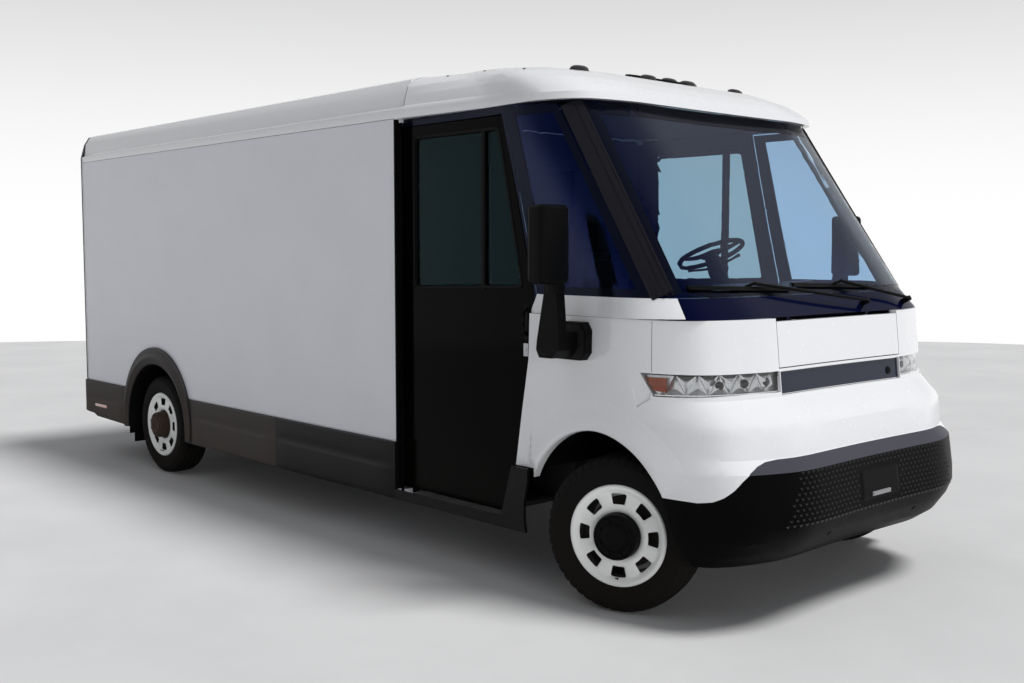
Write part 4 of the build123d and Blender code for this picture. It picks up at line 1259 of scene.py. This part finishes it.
# %% Panel edges and rivets
edges_dark, edges_bright, rivets = [], [], []
for side in BOTH:
    edges_dark += [
        side_box(side, (1.0130, 1.0235), (1.050, 1.0820), (0.338, 2.388), 0.003),
        side_box(side, (1.0205, 1.0225), (0.924, 0.972), (0.302, 2.372), 0.0008),
        side_box(side, (1.0205, 1.0225), (1.031, 1.052), (0.302, 2.372), 0.0008),
        side_box(side, (-3.2835, -3.262), (1.078, 1.0825), (0.612, 2.430), 0.0018),
    ]
    edges_bright.append(side_box(side, (-3.262, -3.246), (1.078, 1.0835), (0.612, 2.430), 0.0018))
    for x_ends in ((-3.246, -2.500), (-1.450, 1.012)):
        edges_bright.append(side_box(side, x_ends, (1.078, 1.0835), (0.6065, 0.6150), 0.0018))
    for k in range(62):
        foot = (-3.215 + 0.0685 * k, side * 1.0800, 2.412)
        rivets.append(lathe([(0, .0042), (.0010, .0036), (.0016, .0004)], foot, (0, side, 0), 8))
piece("panel_edges_dark", edges_dark, moulded_black)
piece("panel_edges_bright", edges_bright, edge_grey)
piece("panel_rivets", rivets, edge_grey)
print("rivets", len(rivets))

# %% [markdown]
# The roof is moulded in two halves. A thin raised band covers their seam, and along each side run a grey
# line painted as the gutter's shadow and a rounded rail. The rail dies away over the cab, where the roof
# has its own curve.

# %% Roof seam and painted gutter shadows
roof_tree = panel_tree("cab_roof", "cargo_roof")
seam_x, gutter_z = 1.094, 2.391
seams, gutter_shadows = [], []
for side in BOTH:
    inward = (0, -side, 0)
    seam = [(seam_x, side * beside, 2.392), (seam_x, side * beside, 2.560)]
    seams.append(strip(roof_tree, seam, inward, 0.006, 0.0012, 0.01))
    # The gutter line is a grey strip painted as the gutter's shadow.
    gutter = [(-3.24, side * beside, gutter_z), (1.020, side * beside, gutter_z)]
    gutter_shadows.append(strip(roof_tree, gutter, inward, 0.0045, 0.0010, 0.2))
over_roof = [(seam_x, -1.02, above), (seam_x, 1.02, above)]
seams.append(strip(roof_tree, over_roof, (0, 0, -1), 0.006, 0.0012, 0.02))
piece("roof_seam", seams, gap_and_gutter_shade_grey, sharp=60)
piece("roof_gutter_shadows", gutter_shadows, gap_and_gutter_shade_grey, sharp=60)
print("gutter_shadows", len(gutter_shadows))

# %% [markdown]
# The rail is a soft step where wall and roof meet. Three rays from the side at every station find points
# up the curve, and the rail joins them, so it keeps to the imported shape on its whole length.

# %% Rounded rails and screws on the roof
rails = []
for side in BOTH:
    verts = []
    for k in range(121):
        x = -3.250 + 5.330 * k / 120
        slim = max(0.0, 1 - max(0.0, (x - 1.30) / 0.62) ** 1.5)
        low, high, shelf = [from_side(roof_tree, x, z, side)[0] for z in (2.394, 2.449, 2.462)]
        if None in (low, high, shelf):
            continue
        verts += [
            low - Vector((0, side * 0.002, 0)), low + Vector((0, side * 0.0030 * slim, 0)),
            Vector((x, low.y + side * 0.0040 * slim, 2.428)),
            Vector((x, low.y * slim + high.y * (1 - slim), 2.4435)),
            high + Vector((0, side * 0.003 * slim, 0.0015)), shelf - Vector((0, side * 0.003, 0)),
        ]
    rails.append(mesh_from(verts, grid_faces(len(verts) // 6, 6)))
piece("roof_rails", rails, white_gloss, sharp=30)
screw = [(-.001, .008), (.002, .0075), (.0032, .005), (.0035, .0004)]
screws = []
for x in (1.30, 1.60, 1.90):
    for y in (-0.93, 0.93):
        screws.append(lathe(screw, *from_above(roof_tree, x, y), 16))
piece("roof_screws", screws, moulded_black)
print("roof rails", len(rails), "screws", len(screws))

# %% [markdown]
# Five marker lamps stand on the front edge of the roof. Each is a smoked dome on a rubber foot, and the
# three in the middle share one long base.

# %% Marker lamps
def dome(hit, normal, long_half, wide_half, height, along=Vector((0, 1, 0)), rings=8, sides=32):
    """A low oval dome that stands on a sloping surface."""
    u = (along - normal * along.dot(normal)).normalized()
    v = normal.cross(u)
    verts = []
    for i in range(rings + 1):
        tilt = math.pi / 2 * i / rings
        flat = math.cos(tilt) ** 0.75
        rise = normal * (height * math.sin(tilt) - 0.004)
        for k in range(sides):
            turn = 2 * math.pi * k / sides
            out = u * math.cos(turn) * long_half + v * math.sin(turn) * wide_half
            verts.append(hit + out * flat + rise)
    return mesh_from(verts, grid_faces(rings + 1, sides, around=True))


lamp_domes, lamp_feet, base = [], [], []
for x, y in ((2.010, -0.650), (2.010, 0.650), (2.050, -0.165), (2.056, 0.0), (2.050, 0.165)):
    hit, normal = from_above(roof_tree, x, y)
    lamp_domes.append(dome(hit + normal * 0.006, normal, 0.060, 0.034, 0.022))
    lamp_feet.append(dome(hit, normal, 0.070, 0.043, 0.011))
for k in range(25):
    y = -0.265 + 0.53 * k / 24
    base.append(from_above(roof_tree, 2.060 - 0.45 * y * y * 2.2, y))
lamp_feet.append(ribbon(base, 0.075, 0.011))
piece("marker_domes", lamp_domes, smoked_lens, stands_for=["marker_lamps"])
piece("marker_feet", lamp_feet, moulded_black)
print("marker lamps", len(lamp_domes))

# %% [markdown]
# ## Cab interior
# What shows through the glass is a padded dash, a screen, a wheel with a round rim and one high seat. The
# seat is soft, so its cushions are crowned: thick in the middle, drawn in along the seams.

# %% Steering wheel
wheel_row = joint["steering_wheel_turn"]
hub_centre, hub_axis, hub_side, hub_up = turned_frame(wheel_row["pos_m"], wheel_row["axis"])
grip_turns = [2 * math.pi * k / 14 for k in range(14)]
grip_ring = [(0.011 + 0.0135 * math.cos(turn), 0.1915 + 0.0135 * math.sin(turn)) for turn in grip_turns]
hub_profile = [(-.002, .030), (.0, .058), (.010, .062), (.018, .058), (.0215, .040), (.022, .0005)]
wheel_meshes = [lathe(grip_ring, hub_centre, hub_axis, 96, closed=True),
                lathe(hub_profile, hub_centre, hub_axis, 48)]
for turn in (90, 205, 335):
    out = spoke(hub_side, hub_up, math.radians(turn))
    run = [hub_centre + hub_axis * z + out * r
           for r, z in ((0.040, 0.010), (0.090, 0.004), (0.140, 0.006), (0.186, 0.011))]
    wheel_meshes.append(tube(run, 0.012, 12, [1.4, 1.1, 0.95, 1.0]))
piece("steering_rim", wheel_meshes, moulded_black, "steering_wheel", ["steering_wheel"],
      sharp=50)

shroud_foot = hub_centre - hub_axis * 0.34
shroud_profile = [(0, .030), (.01, .046), (.20, .050), (.30, .046), (.325, .040), (.330, .031)]
column_bits = [lathe(shroud_profile, shroud_foot, hub_axis, 32)]
for side in BOTH:
    stalk = [shroud_foot + hub_axis * z + hub_side * side * r
             for z, r in ((0.27, 0.04), (0.285, 0.11), (0.295, 0.155))]
    column_bits.append(tube(stalk, 0.007, 10, [1, 1, 1.5]))
piece("column_shroud", column_bits, trim_grey)
print("steering wheel at", [round(x, 3) for x in hub_centre])

# %% [markdown]
# The dash is a padded shelf with an upright panel, two dark screens and slatted vents. Only its upper
# part is seen through the glass, so it is built from soft boxes.

# %% Dash
dash_bits = [
    soft_box((2.565, -0.895, 1.330), (2.870, 0.895, 1.398), 0.030, 5),
    soft_box((2.5620, -0.880, 1.135), (2.600, 0.880, 1.335), 0.018, 4),
    soft_box((2.5590, -0.300, 0.905), (2.880, 0.150, 1.150), 0.020, 4),
]
piece("dash_pad", dash_bits, trim_grey)
screens = [soft_box((2.5530, 0.330, 1.395), (2.5760, 0.630, 1.505), 0.006, 3),
           soft_box((2.5520, -0.260, 1.300), (2.5740, 0.080, 1.500), 0.008, 3)]
piece("dash_screens", screens, screen_black)
dash_hood = soft_box((2.560, 0.300, 1.395), (2.700, 0.660, 1.412), 0.006, 3)
vents = []
for y in (-0.74, -0.42, 0.20, 0.78):
    for k in range(5):
        z = 1.225 + 0.016 * k
        vents.append(soft_box((2.5570, y - 0.055, z), (2.5640, y + 0.055, z + 0.007), 0.0015, 2))
piece("dash_vents", [dash_hood] + vents, moulded_black)
print("dash vents", len(vents))

# %% [markdown]
# A pad's swelling is the product of two falls, one along each direction, so it is highest in the middle
# and drops to the seams. The same rule draws the sides in between the corners and cuts a shallow sewn
# channel.

# %% Seat cushions
def cushion(low, high, crown, thin, cuts=14):
    """A crowned closed pad: thickest in the middle, with sides that pull in between its corners."""
    low, high = Vector(low), Vector(high)
    half, middle = (high - low) / 2, (high + low) / 2
    bm = bmesh.new()
    bmesh.ops.create_cube(bm, size=2)
    bmesh.ops.subdivide_edges(bm, edges=bm.edges[:], cuts=cuts, use_grid_fill=True)
    wide = [i for i in range(3) if i != thin]
    for v in bm.verts:
        u, w, t = v.co[wide[0]], v.co[wide[1]], v.co[thin]
        swell = (1 - abs(u) ** 3.2) * (1 - abs(w) ** 3.2)
        seam = 0.06 * math.exp(-((abs(u) - 0.62) / 0.05) ** 2) * (abs(t) > 0.5)
        out = [0.0, 0.0, 0.0]
        out[thin] = t * (1 - crown + crown * swell ** 0.5 - seam)
        round_off = 1 - 0.05 * t * t
        out[wide[0]] = u * round_off * (1 - 0.025 * (1 - w * w))
        out[wide[1]] = w * round_off * (1 - 0.025 * (1 - u * u))
        v.co = Vector((middle[i] + out[i] * half[i] for i in range(3)))
    return mesh_of(bm)


seat_pads = {
    "seat_cushion": (cushion((1.150, 0.250, 0.958), (1.590, 0.710, 1.078), 0.34, 2), 0.7),
    "seat_back": (cushion((1.092, 0.262, 1.085), (1.188, 0.698, 1.620), 0.40, 0), 0.7),
    "seat_headrest": (cushion((1.095, 0.350, 1.650), (1.185, 0.610, 1.855), 0.35, 0), 0.7),
}
stands = ["seats"]
for name, (mesh, fill) in seat_pads.items():
    pad = piece(name, mesh, seat_cloth, stands_for=stands, sharp=80)
    stands = []
seat_bits = [
    soft_box((1.180, 0.290, 0.700), (1.520, 0.670, 0.860), 0.02, 3),
    soft_box((1.130, 0.262, 0.860), (1.570, 0.698, 0.958), 0.03, 4),
]
seat_bits += [tube([(1.140, y, 1.600), (1.140, y, 1.680)], 0.008) for y in (0.420, 0.540)]
piece("seat_base", seat_bits, moulded_black)
print("seat pads", len(seat_pads))

# %% [markdown]
# A dark headlining closes the cab below the roof. Its outline is found by casting rays at the roof's
# inner side from the middle of the cab.

# %% Headlining
inner_tree = panel_tree("cab_roof")
lining_x, lining_z, lining_rear = 1.60, 2.396, 0.575
lining = [Vector((lining_x, 0.0, 2.425))]
lining_faces = []
for k in range(96):
    turn = 2 * math.pi * k / 96
    out = Vector((math.cos(turn), math.sin(turn), 0))
    eye = Vector((lining_x, 0.0, 2.400))
    hit, normal = on_panel(inner_tree, eye, out)
    reach = 0.97 if hit is None else (hit - eye).length - 0.004
    if out.x < 0:
        reach = min(reach, lining_rear / max(1e-6, -out.x))
    lining.append(Vector((lining_x, 0.0, lining_z)) + out * reach)
    lining_faces.append((0, k + 1, (k + 1) % 96 + 1))
piece("headlining", mesh_from(lining, lining_faces), lining_black, sharp=80)
print("headlining points", len(lining))

# %% [markdown]
# ## Glass borders and pillars
# Bonded glass has a printed black border. It is a thin band just outside the glass, between the outline
# of the pane and a smaller copy of it. The band stops where a ray finds neither glass nor frame close by.

# %% Printed borders
def border(tree, outer, inner, place_at, direction, reach, lift=0.0008, steps=22, across=4):
    """A band between two outlines, laid on the first surface within reach. Where there is none it stops."""
    places = []
    for a, b, c, d in zip(outer, outer[1:] + outer[:1], inner, inner[1:] + inner[:1]):
        for k in range(steps):
            edge, rim = Vector(a).lerp(Vector(b), k / steps), Vector(c).lerp(Vector(d), k / steps)
            for j in range(across + 1):
                start = place_at(edge.lerp(rim, j / across))
                hit, normal = on_panel(tree, start, direction)
                near = hit is not None and (hit - start).length < reach
                places.append(hit + normal * lift if near else None)
    row, verts, number, faces = across + 1, [], {}, []
    for i in range(len(places) // row):
        n = (i + 1) % (len(places) // row)
        for j in range(across):
            face = (i * row + j, i * row + j + 1, n * row + j + 1, n * row + j)
            if any(places[v] is None for v in face):
                continue
            for v in face:
                if v not in number:
                    number[v] = len(verts)
                    verts.append(places[v])
            faces.append(tuple(number[v] for v in face))
    return mesh_from(verts, faces)


glass_tree = panel_tree("quarter_glass", "windscreen", "cab_frame")
borders = []
for side in BOTH:
    borders.append(border(
        glass_tree, [(2.090, 1.464), (2.842, 1.464), (2.232, 2.376), (1.866, 2.376)],
        [(2.175, 1.500), (2.735, 1.500), (2.185, 2.330), (1.955, 2.330)],
        lambda p, side=side: Vector((p.x, side * 1.5, p.y)), (0, -side, 0), 0.75))
borders.append(border(
    glass_tree, [(-0.978, 1.464), (0.978, 1.464), (0.924, 2.386), (-0.924, 2.386)],
    [(-0.925, 1.492), (0.925, 1.492), (0.868, 2.318), (-0.868, 2.318)],
    lambda p: Vector((ahead, p.x, p.y)), (-1, 0, 0), 1.8, across=5))
piece("glass_borders", borders, pillar_black, sharp=60)
print("borders", len(borders))

# %% [markdown]
# The white paint carries on over the cab's frame below the quarter windows. The band is cast on to the
# frame from the middle of the cab, and its lower edge stands out to meet the nose panel.

# %% Painted shoulders below the quarter windows
shoulder_rows = 7
shoulders = []
for side in BOTH:
    columns = []
    for k in range(81):
        turn = math.radians(-45.5 + 104 * k / 80)
        column = []
        for j in range(shoulder_rows):
            rise = j / (shoulder_rows - 1)
            angle = turn * (1 - 0.03 * rise)
            out = Vector((math.sin(angle), side * math.cos(angle), 0))
            middle = Vector((2.45, side * 0.65, 1.3675 + 0.0935 * rise))
            hit, normal = on_panel(glass_tree, middle + out * 1.5, -out)
            if hit is None:
                break
            column.append(hit + normal * (0.0016 + 0.0125 * (1 - rise) ** 1.6))
        if len(column) == shoulder_rows:
            columns.append(column)
    shoulders.append(mesh_from([p for column in columns for p in column],
                               grid_faces(len(columns), shoulder_rows)))
piece("painted_shoulders", shoulders, white_gloss, sharp=50)
print("shoulder columns", len(columns))

# %% [markdown]
# The windscreen pillar is one wide moulding with three narrow ribs on it. Each is a strip that climbs
# from the cowl to the roof, found by rays from outside the corner of the cab.

# %% Pillar mouldings
pillar_ribs = ((-0.018, 0.104, 0.004), (-0.036, 0.012, 0.009), (-0.006, 0.010, 0.010),
               (0.014, 0.006, 0.011))
diagonal = 0.7071
mouldings = []
for side in BOTH:
    for shift, width, height in pillar_ribs:
        found = []
        for k in range(41):
            t = 0.055 + 0.945 * k / 40
            middle = Vector((2.945 - 0.650 * t, side * (1.005 - 0.045 * t), 1.420 + 0.955 * t))
            start = middle + Vector((0.35 + shift, side * (0.35 - shift), 0))
            hit, normal = on_panel(glass_tree, start, (-diagonal, -side * diagonal, 0))
            if hit is not None and (hit - middle).length < 0.12:
                found.append((hit, normal))
        mouldings.append(ribbon(found, width, height))
piece("pillar_mouldings", mouldings, pillar_grey, sharp=30)
print("mouldings", len(mouldings))

# %% [markdown]
# ## Rear end and running gear
# The rear has a handle and a latch bar on the roll-up door, dark rings round the lamps, a bare plate
# holder and a studded step. A ring follows its lamp's long oval outline, so its section is swept round
# that path.

# %% Rings round the rear lamps
rear_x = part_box("rear_frame")[0].x
lamp_y, ring_radius, ring_half = 1.002, 0.030, 0.027
ring_profile = ((0, 0), (.001, .010), (.004, .0165), (.008, .0165), (.0095, .012))
rings = []
for side in BOTH:
    for z in (1.000, 1.130, 2.440):
        verts = []
        for k in range(48):
            turn = 2 * math.pi * k / 48
            end = ring_half if math.sin(turn) > 0 else -ring_half
            across, rise = ring_radius * math.cos(turn), ring_radius * math.sin(turn)
            edge = Vector((side * lamp_y + across, z + end + rise))
            toward = (Vector((side * lamp_y, z)) - edge).normalized()
            verts += [(rear_x - lift, *(edge + toward * inset)) for inset, lift in ring_profile]
        rings.append(mesh_from(verts, grid_faces(48, len(ring_profile), closed=True)))
piece("rear_lamp_rings", rings, seal_rubber)
print("rear lamp rings", len(rings))

# %% [markdown]
# A driver pulls the roll-up door by a bent bar on a latch box and climbs in by two tall grab rails. Bars
# like these are tubes through four points, which gives them their bent ends.

# %% Handles on the roll-up door and the rear frame
door_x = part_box("rear_door")[0].x
pull = ((0.012, -0.085), (0.026, -0.070), (0.026, 0.070), (0.012, 0.085))
grab = ((0.001, 0.90), (0.045, 0.925), (0.045, 1.42), (0.001, 1.445))
latch = [
    soft_box((door_x - 0.016, -0.110, 0.735), (door_x + 0.001, 0.110, 0.785), 0.006),
    tube([(door_x - out, y, 0.760) for out, y in pull], 0.0075),
    soft_box((door_x - 0.008, -0.900, 0.706), (door_x + 0.001, 0.900, 0.722), 0.003),
]
latch += [tube([(rear_x - out, side * 0.955, z) for out, z in grab], 0.011, 16) for side in BOTH]
piece("rear_handles", latch, bright_metal)
print("handles", len(latch))

# %% [markdown]
# A bare plate on its holder, a camera that looks down at the step, and rows of raised studs on the step
# itself. The studs are low lathes in staggered rows, all in one mesh.

# %% Blank plate, rear camera and step
plate = soft_box((rear_x - 0.010, -0.740, 0.530), (rear_x + 0.001, -0.420, 0.680), 0.004)
piece("plate_holder", plate, moulded_black)
blank = soft_box((rear_x - 0.0125, -0.730, 0.538), (rear_x - 0.009, -0.430, 0.672), 0.0012)
piece("blank_plate", blank, edge_grey)
eye_profile = [(0, .016), (.006, .016), (.008, .012), (.009, .001)]
pod = [soft_box((rear_x - 0.050, -0.055, 2.440), (rear_x + 0.001, 0.055, 2.500), 0.012, 4),
       lathe(eye_profile, (rear_x - 0.042, 0, 2.452), (-0.6, 0, -0.8), 24)]
piece("rear_camera", pod, moulded_black)
step_stud = [(0, .0065), (.0022, .0052), (.0026, .0030), (.0018, .0004)]
treads = []
for row in range(5):
    for column in range(44):
        foot = (-3.352 + 0.020 * row, -0.865 + 0.0402 * column + (row % 2) * 0.011, 0.4700)
        treads.append(lathe(step_stud, foot, (0, 0, 1), 8))
piece("step_studs", treads, edge_grey, sharp=30)
print("step studs", len(treads))

# %% [markdown]
# The rear axle hangs on leaf springs: three flat sheets, each shorter than the one above and bent to the
# same curve. A damper of two tubes stands beside each spring.

# %% Springs and dampers
axle_x, spring_half = -1.977, 0.62
gear = []
for side in BOTH:
    for sheet in range(3):
        half = spring_half - 0.13 * sheet
        verts = []
        for k in range(17):
            t = k / 8 - 1
            x, y = axle_x + half * t, side * 0.535
            z = 0.455 + 0.075 * (t * t) * (half / spring_half) ** 2 - 0.011 * sheet
            verts += [(x, y - 0.035, z), (x, y + 0.035, z), (x, y + 0.035, z + 0.009),
                      (x, y - 0.035, z + 0.009)]
        gear.append(mesh_from(verts, grid_faces(17, 4, around=True) + [(3, 2, 1, 0), (64, 65, 66, 67)]))
    gear.append(tube([(-1.80, side * 0.46, 0.33), (-1.60, side * 0.46, 0.53)], 0.026, 18))
    gear.append(tube([(-1.86, side * 0.46, 0.27), (-1.80, side * 0.46, 0.33)], 0.012, 12))
piece("rear_springs", gear, chassis_black_and_barrel_shade, sharp=40)
print("spring sheets and damper tubes", len(gear))

# %% [markdown]
# ## Studio
# A pale floor, an even pale sky and three broad lamps. Suns with a wide angle light the floor evenly to
# the horizon, which an area lamp can't do. The sky that the camera and reflections see is brighter than
# the sky that lights the van, and its colour falls off a little with height.

# %% Floor
bpy.context.scene.view_settings.view_transform = "Standard"
view_x, view_y = camera.location.x, camera.location.y
floor_rim = []
for k in range(128):
    turn = 2 * math.pi * k / 128
    across, away = math.cos(turn), math.sin(turn)
    across = math.copysign(abs(across) ** 0.5, across) * (14.5 if across < 0 else 12.5)
    away = 6.6 + math.copysign(abs(away) ** 0.5, away) * 15.0
    floor_rim.append((view_x - 0.738 * away + 0.675 * across, view_y + 0.675 * away + 0.738 * across, 0.0))
floor_mesh = mesh_from(floor_rim, [tuple(range(128))])
studio_floor = add_object("studio_floor", floor_mesh)
floor_pale, floor_tree, floor_shader = new_material("floor_pale", Specular_IOR_Level=0.15, Roughness=0.7)
cloud = fade(floor_tree, noise(floor_tree, object_place(floor_tree), 0.6, 6.0, 0.62), 0.3, 0.7)
pale = mix_colours(floor_tree, cloud, (0.67, 0.67, 0.672), (0.73, 0.73, 0.73))
floor_tree.links.new(pale, floor_shader.inputs["Base Color"])
floor_mesh.materials.append(floor_pale)
print("floor points", len(floor_rim))

# %% [markdown]
# The sky is a plain background with two strengths. A light path node shows the brighter one to the
# camera, in reflections and through glass, and the dimmer one lights the van, so that its shadows keep
# some depth.

# %% Sky
world = bpy.data.worlds.new("studio")
bpy.context.scene.world = world
world.use_nodes = True
sky_tree = world.node_tree
sky = sky_tree.nodes["Background"]
sky.inputs["Color"].default_value = (0.93, 0.95, 1.0, 1)
sky.inputs["Strength"].default_value = 0.18
seen = sky_tree.nodes.new("ShaderNodeBackground")
sky_place = sky_tree.nodes.new("ShaderNodeTexCoord").outputs["Generated"]
height = fade(sky_tree, upward_part(sky_tree, sky_place), 0.02, 0.32)
sky_colour = mix_colours(sky_tree, height, (1.0, 1.0, 1.0), (0.59, 0.59, 0.595))
sky_tree.links.new(sky_colour, seen.inputs["Color"])
path = sky_tree.nodes.new("ShaderNodeLightPath")
direct = math_node(sky_tree, "MAXIMUM", path.outputs["Is Camera Ray"], path.outputs["Is Glossy Ray"])
direct = math_node(sky_tree, "MAXIMUM", direct, path.outputs["Is Transmission Ray"])
choose = sky_tree.nodes.new("ShaderNodeMixShader")
sky_tree.links.new(direct, choose.inputs[0])
sky_tree.links.new(sky.outputs[0], choose.inputs[1])
sky_tree.links.new(seen.outputs[0], choose.inputs[2])
sky_tree.links.new(choose.outputs[0], sky_tree.nodes["World Output"].inputs[0])
print("sky", world.name)

# %% [markdown]
# The main sun stands high and a little to the front left, a second low in front fills the nose, and a
# weak third from the right lifts the side. They are hidden from reflections, so no disc shows in the
# paint.

# %% Lamps
def broad_sun(name, toward, strength, angle):
    """A sun lamp that shines from the given direction, softened by its angle."""
    lamp = bpy.data.lights.new(name, "SUN")
    lamp.energy = strength
    lamp.angle = math.radians(angle)
    obj = add_object(name, lamp)
    obj.rotation_euler = (-Vector(toward)).to_track_quat("-Z", "Y").to_euler()
    obj.visible_glossy = False
    obj.visible_transmission = False


broad_sun("key_lamp", (0.38, 0.22, 0.90), 2.42, 18)
broad_sun("front_lamp", (0.95, -0.27, 0.08), 1.12, 34)
broad_sun("side_lamp", (-0.24, -0.44, 0.86), 0.12, 60)
print("lamps", len(bpy.data.lights))
